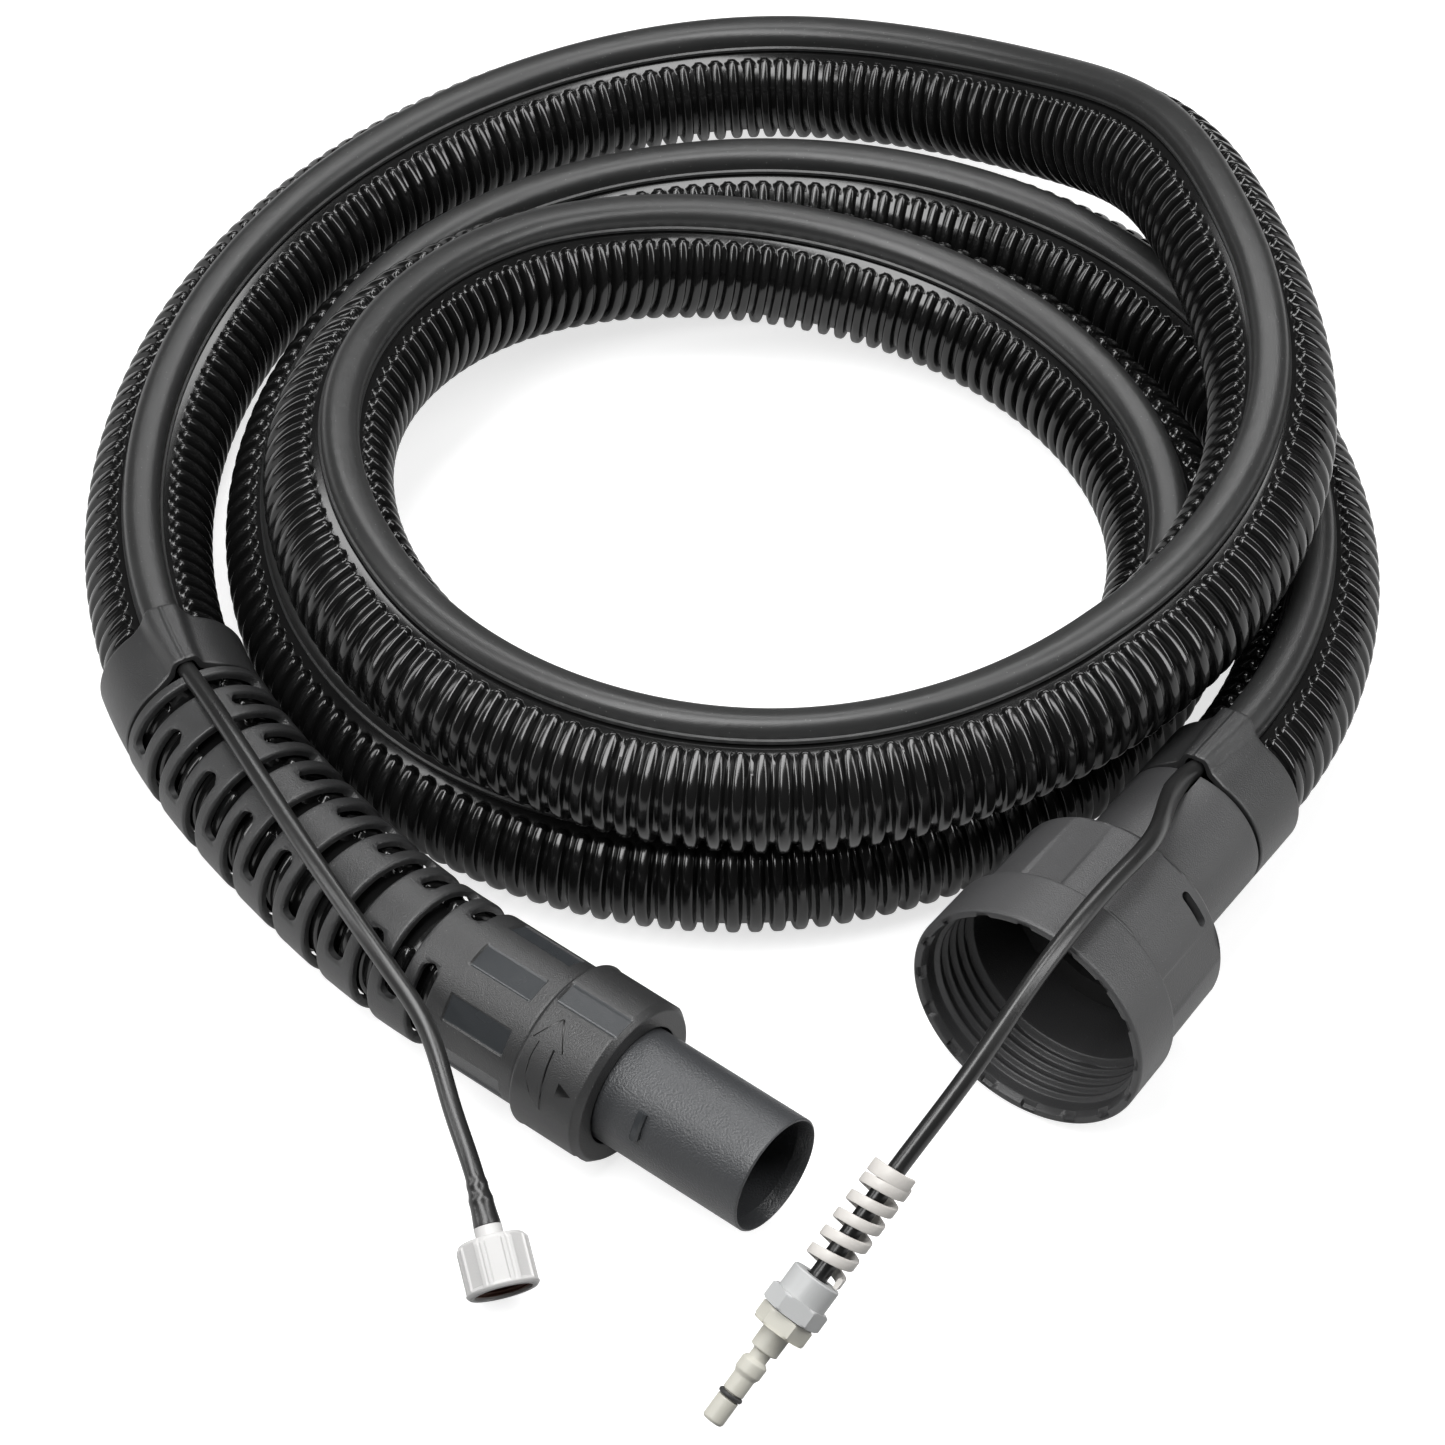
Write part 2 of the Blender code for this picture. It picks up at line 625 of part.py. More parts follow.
def build_machine_end():
    """The pieces on the machine axis: neck, hose nipple, thrust ring, seal and coupling nut."""
    neck = turned("coupling_neck", MACHINE, [
        (17.2, -46.5), (30.0, -46.5), (30.0, -49.5), (NECK_RADIUS, -49.5), (NECK_RADIUS, NECK_END),
        (COLLAR_BORE_RADIUS, NECK_END), (COLLAR_BORE_RADIUS, -58.0), (17.2, -58.0),
    ])
    # The neck's rear edge leaves room for the spray line that comes out of the collar above it
    relief = blocks("neck_relief", MACHINE, [(polar_place(8, NECK_RADIUS + 0.4, NECK_END), (8.4, 7.4, 24.0))])
    cut(neck, relief)
    finish(neck, (0.045, 0.046, 0.048), 0.5)
    nipple = turned("machine_hose_nipple", MACHINE, [
        (13.2, -58.4), (20.4, -58.4), (20.4, -61.6),
        (NIPPLE_RADIUS, -61.6), (NIPPLE_RADIUS, -88.0), (13.2, -88.0),
    ], 20)
    finish(nipple, (0.05, 0.05, 0.052), 0.5)
    ring = turned("nut_thrust_ring", MACHINE, [(24.2, -49.9), (32.4, -49.9), (32.4, -52.1), (24.2, -52.1)])
    finish(ring, (0.3, 0.3, 0.3), 0.5)
    seal = turned("coupling_seal", MACHINE, [(23.0, -43.6), (31.0, -43.6), (31.0, -46.1), (23.0, -46.1)])
    finish(seal, (0.02, 0.02, 0.02), 0.65)
    nut = turned("coupling_nut", MACHINE, nut_profile(), 28)
    grip = -NUT_BAND_LENGTH - 15.0
    step = 360 / NUT_PADS
    hollows = [
        (polar_place(step * k + 18.0, NUT_GRIP_RADIUS + 0.2, grip), (14.2, 2.2, 29.0))
        for k in range(NUT_PADS)
    ]
    cut(nut, blocks("nut_grip_hollows", MACHINE, hollows))
    windows = [(polar_place(90 * k - 49.0, 35.0, -47.0), (12.5, 10.0, 3.4)) for k in range(4)]
    cut(nut, blocks("nut_windows", MACHINE, windows))
    notches = [(polar_place(22.5 * k + 6.0, NUT_BAND_RADIUS - 3.0, 0.0), (4.5, 3.4, 2.2)) for k in range(16)]
    cut(nut, blocks("nut_notches", MACHINE, notches))
    finish(nut, (0.04, 0.041, 0.043), 0.5)


# --- spray line tails and their fittings ------------------------------------------------------

def line_exit(distance):
    """Hinge point of a spray line tail at a collar's mouth."""
    centre, along, _, strip = path_frame(distance)
    return centre + strip * LINE_EXIT_RADIUS, along


def carried(item, carrier):
    """Parent a fitting to the tail it rides on, keeping its place."""
    item.parent = carrier
    item.matrix_parent_inverse = carrier.matrix_basis.inverted()
    return item


def tail(name, points):
    """A spray line tail with a round closed end at its first point and an open bore at its last."""
    points = np.array(points)
    first = (points[1] - points[0]) / np.linalg.norm(points[1] - points[0])
    dome_turns = np.radians((82, 55, 28))
    dome = [points[0] - first * LINE_RADIUS * math.sin(t) for t in dome_turns]
    centres = np.vstack((dome, points))
    radii = np.concatenate((np.cos(dome_turns), np.ones(len(points))))
    data = poly_curve(name, centres, radii=radii)
    data.bevel_mode = "OBJECT"
    data.bevel_object = section(name + "_section", circle(LINE_RADIUS, 10))
    data.use_fill_caps = True
    item = made_mesh(link(name, data, PARTS), PARTS)
    reach = points[1:].copy()
    reach[-1] += (points[-1] - points[-2]) * 0.3
    bore = poly_curve(name + "_bore", reach)
    bore.bevel_mode = "OBJECT"
    bore.bevel_object = section(name + "_bore_section", circle(LINE_BORE_RADIUS, 8))
    bore.use_fill_caps = True
    cut(item, made_mesh(link(name + "_bore", bore, TOOLS), TOOLS))
    pivot = Matrix.Translation(Vector(points[0]) * MM)
    item.data.transform(pivot.inverted())
    item.matrix_world = pivot
    return finish(item, (0.02, 0.02, 0.021), 0.35)


def build_wand_line():
    """The spray line's loose end beside the wand spigot, with its tailpiece, washer and nut."""
    start, along = line_exit(WAND_COLLAR[0] - 1.5)
    over = [
        (-164.5, -115.5, 53.5),
        (-140.4, -157.4, 54.0),
        (-121.8, -187.8, 50.5),
        (-111.0, -203.5, 46.5),
        (-101.4, -218.3, 41.5),
        (-93.2, -241.5, 32.0),
    ]
    over = [COIL_MIDDLE + Vector(point) for point in over]
    rear = on_axis(WAND_NUT, -31.5)
    last = on_axis(WAND_NUT, -20.4)
    rise = -along + np.array((0.0, 0.0, 0.35))
    reach = smooth_path([start, *over, rear], rise, heading_of(WAND_NUT), 15)
    carrier = tail("wand_line_tail", [*reach, last])
    piece = turned("wand_line_tailpiece", WAND_NUT, [
        (1.0, -9.9), (7.6, -9.9), (7.6, -12.3), (4.1, -12.3),
        (4.1, -20.0), (1.6, -20.0), (1.6, -30.0), (1.0, -30.0),
    ], 16)
    carried(finish(piece, (0.75, 0.75, 0.73), 0.45), carrier)
    washer = turned("wand_line_washer", WAND_NUT, [(3.2, -8.0), (7.6, -8.0), (7.6, -9.5), (3.2, -9.5)], 16)
    carried(finish(washer, (0.16, 0.11, 0.08), 0.6), carrier)
    nut = turned("wand_line_nut", WAND_NUT, [
        (8.4, 0.0), (10.2, 0.0), (WAND_NUT_RADIUS, -0.9), (WAND_NUT_RADIUS, 1.2 - WAND_NUT_LENGTH),
        (9.8, -WAND_NUT_LENGTH), (4.6, -WAND_NUT_LENGTH), (4.6, -12.9), (8.4, -12.9),
        (8.4, -7.0), (7.8, -6.2), (8.4, -5.4), (8.4, -4.6), (7.8, -3.8), (8.4, -3.0),
    ], 24)
    flutes = [(polar_place(30 * k, WAND_NUT_RADIUS + 0.2, -7.6), (1.3, 1.6, 18.0)) for k in range(12)]
    cut(nut, blocks("line_nut_flutes", WAND_NUT, flutes))
    carried(finish(nut, (0.8, 0.8, 0.79), 0.4), carrier)


def build_bend_coil():
    """The open spiral round the spray line behind the compression nut."""
    steps = int(COIL_TURNS * 12)
    points = []
    for step in range(steps + 1):
        turn = -2 * math.pi * step / 12
        height = -20.9 - COIL_PITCH * step / 12
        points.append((COIL_RADIUS * math.cos(turn), COIL_RADIUS * math.sin(turn), height))
    data = poly_curve("bend_coil", points)
    data.bevel_mode = "OBJECT"
    data.bevel_object = section("coil_section", [(-0.8, -1.7), (0.8, -1.7), (0.8, 1.7), (-0.8, 1.7)])
    data.use_fill_caps = True
    coil = made_mesh(link("bend_coil", data, PARTS, PLUG), PARTS)
    return finish(coil, (0.72, 0.69, 0.65), 0.45)


def build_machine_line():
    """The spray line's loose end at the machine, with its bend coil, nut and plug."""
    start, along = line_exit(MACHINE_COLLAR[1] + 1.5)
    over = [
        (118.5, -160.0, 69.5),
        (110.0, -177.0, 77.0),
        (98.0, -197.0, 82.0),
        (84.4, -220.5, 83.5),
        (70.8, -240.8, 79.5),
        (57.0, -259.5, 71.5),
    ]
    over = [COIL_MIDDLE + Vector(point) for point in over]
    rear = on_axis(PLUG, -55.0)
    last = on_axis(PLUG, -11.6)
    rise = along + np.array((0.0, 0.0, 0.4))
    reach = smooth_path([start, *over, rear], rise, heading_of(PLUG), 17)
    carrier = tail("machine_line_tail", [*reach, last])
    carried(build_bend_coil(), carrier)
    hexagon = prism("compression_nut", PLUG, 6, 19.0, -11.0, -5.3, PARTS)
    barrel = prism("compression_barrel", PLUG, 20, 15.6, -18.7, -8.0, TOOLS)
    cut(hexagon, barrel, "UNION")
    hollow = turned("compression_bore", PLUG, [
        (0.6, -2.0), (5.9, -2.0), (5.9, -16.3), (3.3, -16.3), (3.3, -22.0), (0.6, -22.0),
    ], 20, TOOLS)
    hole = prism("compression_core", PLUG, 12, 2.0, -23.0, -1.0, TOOLS)
    cut(hexagon, hollow)
    cut(hexagon, hole)
    carried(finish(hexagon, (0.62, 0.63, 0.64), 0.45), carrier)
    olive = turned("clamp_olive", PLUG, [(3.2, -12.0), (5.4, -12.0), (4.2, -16.0), (3.2, -16.0)], 16)
    carried(finish(olive, (0.55, 0.55, 0.54), 0.5), carrier)
    plug = turned("plug_nipple", PLUG, [
        (1.1, 32.5), (2.8, 32.5), (3.4, 31.6), (3.4, 24.6), (2.8, 24.4), (2.8, 22.2), (3.4, 22.0),
        (3.4, 16.4), (4.1, 15.4), (4.1, 11.0), (3.2, 10.0), (3.2, 6.9), (4.5, 6.1), (4.5, -1.0),
        (5.5, -1.0), (5.5, -11.2), (1.6, -11.2), (1.6, -24.0), (1.1, -24.0),
    ], 16)
    collar = prism("plug_hexagon", PLUG, 6, 17.0, -5.0, 0.0, TOOLS, math.radians(12))
    core = prism("plug_core", PLUG, 16, 2 * 1.3, -26.0, 34.0, TOOLS)
    cut(plug, collar, "UNION")
    cut(plug, core)
    carried(finish(plug, (0.62, 0.6, 0.54), 0.5), carrier)
    ring = turned("plug_o_ring", PLUG, [
        (3.1, 24.0), (3.5, 24.1), (3.9, 23.6), (3.9, 22.9), (3.5, 22.5), (3.1, 22.6),
    ], 16)
    carried(finish(ring, (0.02, 0.02, 0.02), 0.5), carrier)


build_hose()
build_channel()
build_fixed_line()
build_collar("wand_channel_collar", WAND_COLLAR)
build_collar("machine_channel_collar", MACHINE_COLLAR)
build_bend_sleeve()
build_wand_end()
build_machine_end()
build_wand_line()
build_machine_line()
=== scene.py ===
"""Looks for the coiled suction hose with a built-in spray line.

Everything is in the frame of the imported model, in metres; lengths below are written in
millimetres and scaled by MM.  The hose, its channel strip, the slotted sleeve and every visible
fitting are fine meshes that stand for the plain solids; hidden pieces keep their solids.
"""

import math

import bmesh
import bpy
import numpy as np
from mathutils import Matrix, Vector


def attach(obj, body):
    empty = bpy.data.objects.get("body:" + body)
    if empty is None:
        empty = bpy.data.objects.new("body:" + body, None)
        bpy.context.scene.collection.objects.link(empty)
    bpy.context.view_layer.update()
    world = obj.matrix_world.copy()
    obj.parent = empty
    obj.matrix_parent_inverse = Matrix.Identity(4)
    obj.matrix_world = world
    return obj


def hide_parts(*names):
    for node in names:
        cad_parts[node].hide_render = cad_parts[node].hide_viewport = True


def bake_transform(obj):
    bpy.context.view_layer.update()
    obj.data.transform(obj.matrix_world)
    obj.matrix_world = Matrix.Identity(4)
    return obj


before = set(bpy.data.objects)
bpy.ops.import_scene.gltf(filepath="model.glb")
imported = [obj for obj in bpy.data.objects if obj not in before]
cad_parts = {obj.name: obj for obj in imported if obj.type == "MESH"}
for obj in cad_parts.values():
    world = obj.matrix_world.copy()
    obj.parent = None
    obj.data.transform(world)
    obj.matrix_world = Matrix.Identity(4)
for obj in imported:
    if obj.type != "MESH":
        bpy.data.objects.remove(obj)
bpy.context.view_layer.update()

MM = 0.001

# Middle of the coil, from the origin; positions below are taken from it
COIL_MIDDLE = Vector((12.0, 49.55, 0.0))

# Lay of the hose: polar angle, distance from the coil's middle and height of the axis
STATIONS = (
    (224, 197, 25.5),
    (205, 196, 24.2),
    (180, 198, 22.0),
    (150, 203, 21.0),
    (120, 210, 21.0),
    (90, 216, 23.0),
    (60, 199, 43.0),
    (45, 186, 60.5),
    (30, 171, 68.5),
    (0, 159, 69.5),
    (-45, 148, 67.5),
    (-90, 147, 67.0),
    (-135, 145, 67.5),
    (-180, 137, 63.5),
    (-225, 124, 48.0),
    (-270, 114, 33.0),
    (-315, 118, 23.5),
    (-360, 129, 21.0),
    (-405, 133, 21.0),
    (-450, 139, 21.0),
    (-495, 148, 21.0),
    (-540, 153, 21.0),
    (-585, 158, 21.0),
    (-630, 156, 21.0),
    (-675, 162, 21.0),
    (-720, 174, 23.5),
)
LEAN = (
    (-765, -8),
    (-700, 0),
    (-560, 6),
    (-520, 6),
    (-450, -6),
    (-230, 0),
    (-150, -18),
    (-45, -20),
    (20, 0),
    (222, 3),
)

# Hose: radii over the ribs, between them and inside, spacing and half width of the ribs, and how
# many degrees from the strip a rib reaches its full height
HOSE_CREST = 20.5
HOSE_VALLEY = 17.7
HOSE_BORE = 16.4
RIB_PITCH = 6.2
RIB_HALF = 2.35
RIB_FULL = 35.0

# Height on the wand end's axis where the hose's line starts, and on the machine end's where it ends
HOSE_START = -22.0
HOSE_STOP = -62.0

# Cuff, spigot and lock ring: radii, distances of the flat pads from the axis, angles of the pads'
# middles, and the height span of the cuff's pads
CUFF_RADIUS = 24.0
CUFF_FLAT = 23.1
CUFF_PADS = tuple(45.0 * k + 9.5 for k in range(8))
PAD_SPAN = (-28.5, -5.5)
SPIGOT_RADIUS = 18.9
RING_RADIUS = 27.0
RING_FLAT = 26.1
RING_PADS = (3.0, 123.0, 183.0, 243.0, 303.0)

# Sleeve: bores, place of the first slot, and number, spacing, width, turn, rounding and half angle
# of the slots
SLEEVE_BORE = 21.4
CUFF_BORE = 19.45
FIRST_SLOT = 16.5
SLOT_COUNT = 14
SLOT_PITCH = 10.0
SLOT_WIDTH = 5.8
SLOT_TURN = 10.0
SLOT_ROUNDING = 0.9
SLOT_REACH = math.pi / 2 - math.asin(9.0 / 22.7)

# Collars: radii, length, gap in front, how far the tunnel stands back, and the places of their fronts
COLLAR_RADIUS = 23.6
COLLAR_BORE = 21.1
COLLAR_LENGTH = 24.0
COLLAR_GAP = 0.7
TUNNEL_SHIFT = 2.0
WAND_COLLAR = 153.4
MACHINE_COLLAR_FROM_END = 34.4

# Thin line: radius, and height above the hose's axis where it leaves a tunnel
LINE_RADIUS = 2.9
LINE_EXIT = 23.2

# Height of the neck's rear edge on the machine end's axis
NECK_END = -95.7

# Coupling nut: distance of its grip flats from the axis, radii of its thread, and the thread's places
GRIP_FLAT = 35.55
THREAD_ROOT = 35.9
THREAD_CREST = 34.3
THREAD_MIDDLES = tuple(-20.6 + 4.4 * k for k in range(4))

# Bend spring: number of turns and of open turns, their spacing, the last turn's, middle radius, start
SPRING_TURNS = 6.0
SPRING_OPEN = 5.0
SPRING_PITCH = 6.3
SPRING_CLOSED_PITCH = 3.2
SPRING_RADIUS = 6.35
SPRING_START = -20.9


# --- frames and lines -------------------------------------------------------------------------

def axis_frame(origin, heading, rise=0.0):
    """Placement whose local +Z points along the heading and rise, and local +Y leans up."""
    turn = math.radians(heading)
    lift = math.radians(rise)
    ahead = Vector((math.cos(turn) * math.cos(lift), math.sin(turn) * math.cos(lift), math.sin(lift)))
    side = Vector((0.0, 0.0, 1.0)).cross(ahead).normalized()
    upward = ahead.cross(side)
    placed = Matrix((side, upward, ahead)).transposed().to_4x4()
    placed.translation = (COIL_MIDDLE + Vector(origin)) * MM
    return placed


WAND = axis_frame((-61.1, -213.3, 27.2), -38.5)
MACHINE = axis_frame((75.3, -215.0, 40.4), -124.0, 4.1)
WAND_NUT = axis_frame((-77.3, -292.5, 10.1), -74.0, -25.9)
PLUG = axis_frame((2.1, -314.5, 22.2), -136.0, -34.9)


def on_axis(placed, distance):
    """A point on a frame's axis, in millimetres."""
    return np.array((placed @ Vector((0.0, 0.0, distance * MM))) / MM)


def heading_of(placed):
    """The unit direction of a frame's axis."""
    return np.array(placed.to_3x3() @ Vector((0.0, 0.0, 1.0)))


def smooth_line(points, start, end, steps=40):
    """Fine points on the smooth curve through the given points and end directions."""
    points = np.array(points, float)
    spans = np.linalg.norm(np.diff(points, axis=0), axis=1)
    rows = len(points)
    system = np.zeros((rows, rows))
    right = np.zeros((rows, 3))
    system[0, 0] = 1.0
    system[-1, -1] = 1.0
    right[0] = start
    right[-1] = end
    for i in range(1, rows - 1):
        before, after = spans[i - 1], spans[i]
        system[i, i - 1 : i + 2] = after, 2 * (before + after), before
        rise = after * (points[i] - points[i - 1]) / before + before * (points[i + 1] - points[i]) / after
        right[i] = 3 * rise
    slopes = np.linalg.solve(system, right)
    fine = []
    for i, span in enumerate(spans):
        for u in np.linspace(0.0, 1.0, steps, endpoint=False):
            fine.append(
                (2 * u**3 - 3 * u**2 + 1) * points[i]
                + (u**3 - 2 * u**2 + u) * span * slopes[i]
                + (3 * u**2 - 2 * u**3) * points[i + 1]
                + (u**3 - u**2) * span * slopes[i + 1]
            )
    fine.append(points[-1])
    return np.array(fine)


class Track:
    """A line with a centre, a direction, a strip side and a lateral side at every distance."""

    def __init__(self, points, leaning=None, offset=0.0):
        lengths = np.linalg.norm(np.diff(points, axis=0), axis=1)
        travelled = np.concatenate(([0.0], np.cumsum(lengths)))
        self.length = travelled[-1]
        self.offset = offset
        self.marks = np.linspace(0.0, self.length, int(self.length) + 1)
        centre = np.column_stack([np.interp(self.marks, travelled, points[:, k]) for k in range(3)])
        along = np.gradient(centre, axis=0)
        along /= np.linalg.norm(along, axis=1)[:, None]
        outward = np.cross((0.0, 0.0, 1.0), along)
        outward /= np.linalg.norm(outward, axis=1)[:, None]
        upward = np.cross(along, outward)
        lean = np.zeros(len(centre))
        if leaning is not None:
            from_middle = centre - np.array(COIL_MIDDLE)
            polar = np.degrees(np.unwrap(np.arctan2(from_middle[:, 1], from_middle[:, 0])))
            polar += 360.0 * round((255.0 - polar[0]) / 360.0)
            lean = np.radians(np.interp(polar, [a for a, _ in leaning], [v for _, v in leaning]))
        strip = np.cos(lean)[:, None] * upward + np.sin(lean)[:, None] * outward
        self.centre = centre
        self.along = along
        self.strip = strip
        self.side = np.cross(strip, along)

    def pick(self, rows, distance):
        """Values of a row at distances along the line, and how far each lies beyond its ends."""
        flat = np.asarray(distance, float).ravel() - self.offset
        inside = np.clip(flat, 0.0, self.length)
        found = np.column_stack([np.interp(inside, self.marks, rows[:, k]) for k in range(3)])
        return found.reshape((*np.shape(distance), 3)), (flat - inside).reshape(np.shape(distance))

    def point(self, distance, sideways, outward):
        """Points in millimetres at distances along the line and offsets across it."""
        distance, sideways, outward = np.broadcast_arrays(distance, sideways, outward)
        centre, beyond = self.pick(self.centre, distance)
        along = self.pick(self.along, distance)[0]
        side = self.pick(self.side, distance)[0]
        strip = self.pick(self.strip, distance)[0]
        return centre + along * beyond[..., None] + side * sideways[..., None] + strip * outward[..., None]

    def polar(self, distance, angle, radius):
        """Points at an angle in radians from the strip side and a radius."""
        return self.point(distance, radius * np.sin(angle), radius * np.cos(angle))


def hose_line():
    """The hose's axis from inside the cuff, round the coil, into the neck."""
    coil = [
        COIL_MIDDLE + Vector((r * math.cos(math.radians(a)), r * math.sin(math.radians(a)), z))
        for a, r, z in STATIONS
    ]
    points = [on_axis(WAND, -45.0), *coil, on_axis(MACHINE, -124.0)]
    bend = smooth_line(points, -heading_of(WAND), heading_of(MACHINE))
    return np.vstack(([on_axis(WAND, HOSE_START)], bend, [on_axis(MACHINE, HOSE_STOP)]))


HOSE = Track(hose_line(), LEAN)
SLEEVE = Track(hose_line())
MACHINE_COLLAR = HOSE.length - MACHINE_COLLAR_FROM_END


# --- mesh making ------------------------------------------------------------------------------

def grid_faces(rows, columns, wrap_rows):
    """Four-sided faces over a grid of points whose columns go round."""
    i = np.arange(rows if wrap_rows else rows - 1)
    i, j = np.meshgrid(i, np.arange(columns), indexing="ij")
    i2 = (i + 1) % rows
    j2 = (j + 1) % columns
    quads = np.stack((i * columns + j, i * columns + j2, i2 * columns + j2, i2 * columns + j), axis=-1)
    return quads.reshape(-1, 4)


def signed_volume(verts, quads):
    """Six times the volume inside four-sided faces; negative when they look inwards."""
    a, b, c, d = (verts[quads[:, k]] for k in range(4))
    return np.sum(a * np.cross(b, c)) + np.sum(a * np.cross(c, d))


def lattice(name, grid, wrap_rows=False):
    """A closed mesh over a grid of points whose columns go round, with end caps or wrapped rows."""
    rows, columns = grid.shape[:2]
    verts = grid.reshape(-1, 3) * MM
    quads = grid_faces(rows, columns, wrap_rows)
    first_cap = list(range(columns))
    last_cap = list(range((rows - 1) * columns, rows * columns))
    if signed_volume(verts - verts.mean(axis=0), quads) < 0:
        quads = quads[:, ::-1]
        last_cap.reverse()
    else:
        first_cap.reverse()
    faces = quads.tolist()
    if not wrap_rows:
        faces += [first_cap, last_cap]
    data = bpy.data.meshes.new(name)
    data.from_pydata(verts.tolist(), [], faces)
    item = bpy.data.objects.new(name, data)
    bpy.context.scene.collection.objects.link(item)
    return item


def dense(outline, spacing, closed=True):
    """The outline with extra points so that no step is longer than the spacing."""
    outline = [np.array(p, float) for p in outline]
    ends = outline[1:] + outline[:1] if closed else outline[1:]
    points = []
    for here, there in zip(outline, ends):
        count = max(1, math.ceil(np.linalg.norm(there - here) / spacing))
        points += [here + (there - here) * k / count for k in range(count)]
    if not closed:
        points.append(outline[-1])
    return np.array(points)


def softened(outline, radius, steps=3):
    """The closed outline with each corner rounded by a short curve."""
    outline = [np.array(p, float) for p in outline]
    points = []
    for k, corner in enumerate(outline):
        before, after = outline[k - 1] - corner, outline[(k + 1) % len(outline)] - corner
        first = before * min(0.45, radius / np.linalg.norm(before))
        last = after * min(0.45, radius / np.linalg.norm(after))
        for u in np.linspace(0.0, 1.0, steps + 1):
            points.append(corner + first * (1 - u) ** 2 + last * u**2)
    return points


def step(value, edge, width):
    """A smooth step from 0 to 1 at the edge."""
    u = np.clip((value - edge) / width + 0.5, 0.0, 1.0)
    return u * u * (3 - 2 * u)


def window(value, low, high, width):
    """1 between low and high, falling smoothly to 0 outside."""
    return step(value, low, width) * (1 - step(value, high, width))


def in_frame(placed, local):
    """Points of a frame's own space in the space of the whole object, in millimetres."""
    return local @ np.array(placed.to_3x3()).T + np.array(placed.translation) / MM


def turned(name, placed, outline, columns, relief=None):
    """A closed outline of (radius, height) points turned about a frame's axis."""
    outline = np.array(outline)
    turns = np.linspace(0.0, 2 * math.pi, columns, endpoint=False)
    radius = np.repeat(outline[:, :1], columns, axis=1)
    height = np.repeat(outline[:, 1:], columns, axis=1)
    if relief is not None:
        radius = relief(radius, height, np.degrees(turns)[None, :])
    local = np.stack((-radius * np.sin(turns), radius * np.cos(turns), height), axis=-1)
    return lattice(name, in_frame(placed, local), wrap_rows=True)


def away(angle, centre):
    """Degrees from the centre angle, between -180 and 180."""
    return (angle - centre + 180.0) % 360.0 - 180.0


def flat_face(off, reach, limit):
    """Radius of a flat at a distance from the axis, by degrees from its middle, up to a limit."""
    return reach / np.cos(np.radians(np.clip(off, -limit, limit)))


def pressed(shaped, flat, inside):
    """The radius brought down to a flat wherever the flat is lower, by a weight from 0 to 1."""
    return shaped + (np.minimum(shaped, flat) - shaped) * inside


def tube(name, track, distances, radii):
    """A round solid line along a track with a radius at each distance."""
    turns = np.linspace(0.0, 2 * math.pi, 24, endpoint=False)
    return lattice(name, track.polar(distances[:, None], turns[None, :], radii[:, None]))


def cutter_bar(track, middle, half_angle, distance, width, radii):
    """Corner points of a slot cutter with round ends, four points at each of its angles."""
    inner, outer = radii
    angle_low = middle - half_angle
    angle_high = middle + half_angle
    reach = width / 2 / ((inner + outer) / 2)
    ends = np.sin(np.linspace(-math.pi / 2, 0, 5))[:-1]
    turns = np.concatenate((
        angle_low + reach + reach * ends,
        np.linspace(angle_low + reach, angle_high - reach, 14),
        angle_high - reach - reach * ends[::-1],
    ))
    past = np.clip(np.maximum(angle_low + reach - turns, turns - angle_high + reach) / reach, 0.0, 0.995)
    half = width / 2 * np.sqrt(1 - past**2)
    corners = [
        track.polar(distance - half, turns, inner),
        track.polar(distance + half, turns, inner),
        track.polar(distance + half, turns, outer),
        track.polar(distance - half, turns, outer),
    ]
    return np.stack(corners, axis=1)


def joined(name, items):
    """One object holding the meshes of several."""
    shape = bmesh.new()
    for item in items:
        shape.from_mesh(item.data)
        bpy.data.objects.remove(item, do_unlink=True)
    data = bpy.data.meshes.new(name)
    shape.to_mesh(data)
    shape.free()
    whole = bpy.data.objects.new(name, data)
    bpy.context.scene.collection.objects.link(whole)
    return whole


def carved(item, cutter):
    """The item after a cut with another, which is removed."""
    modifier = item.modifiers.new("cut", "BOOLEAN")
    modifier.object = cutter
    graph = bpy.context.evaluated_depsgraph_get()
    data = bpy.data.meshes.new_from_object(item.evaluated_get(graph))
    item.modifiers.clear()
    item.data = data
    bpy.data.objects.remove(cutter, do_unlink=True)
    return item


def box(name, placed, sides):
    """A box at a placement, from its three side lengths."""
    shape = bmesh.new()
    scale = Matrix.Diagonal((sides[0] * MM, sides[1] * MM, sides[2] * MM, 1.0))
    bmesh.ops.create_cube(shape, size=1.0, matrix=placed @ scale)
    data = bpy.data.meshes.new(name)
    shape.to_mesh(data)
    shape.free()
    item = bpy.data.objects.new(name, data)
    bpy.context.scene.collection.objects.link(item)
    return item


def polar_place(angle, radius, height):
    """Local placement at an angle from local +Y, at a radius and height, facing outward."""
    return Matrix.Rotation(math.radians(angle), 4, "Z") @ Matrix.Translation((0.0, radius * MM, height * MM))


def raised_mark(name, placed, edges, radius, thick):
    """A chamfered mark on a cylinder, from (angle, low height, high height) along its length."""
    edges = dense(edges, 1.5, closed=False)
    turns = np.radians(edges[:, :1])
    low, high = edges[:, 1:2], edges[:, 2:3]
    chamfer = np.minimum(0.4 * thick, 0.45 * (high - low))
    foot, top, shoulder = radius - 0.6, radius + thick, radius + 0.6 * thick
    radii = np.array([[foot, foot, shoulder, top, top, shoulder]])
    heights = np.hstack((low, high, high, high - chamfer, low + chamfer, low))
    local = np.stack((-radii * np.sin(turns), radii * np.cos(turns), heights), axis=-1)
    return lattice(name, in_frame(placed, local))


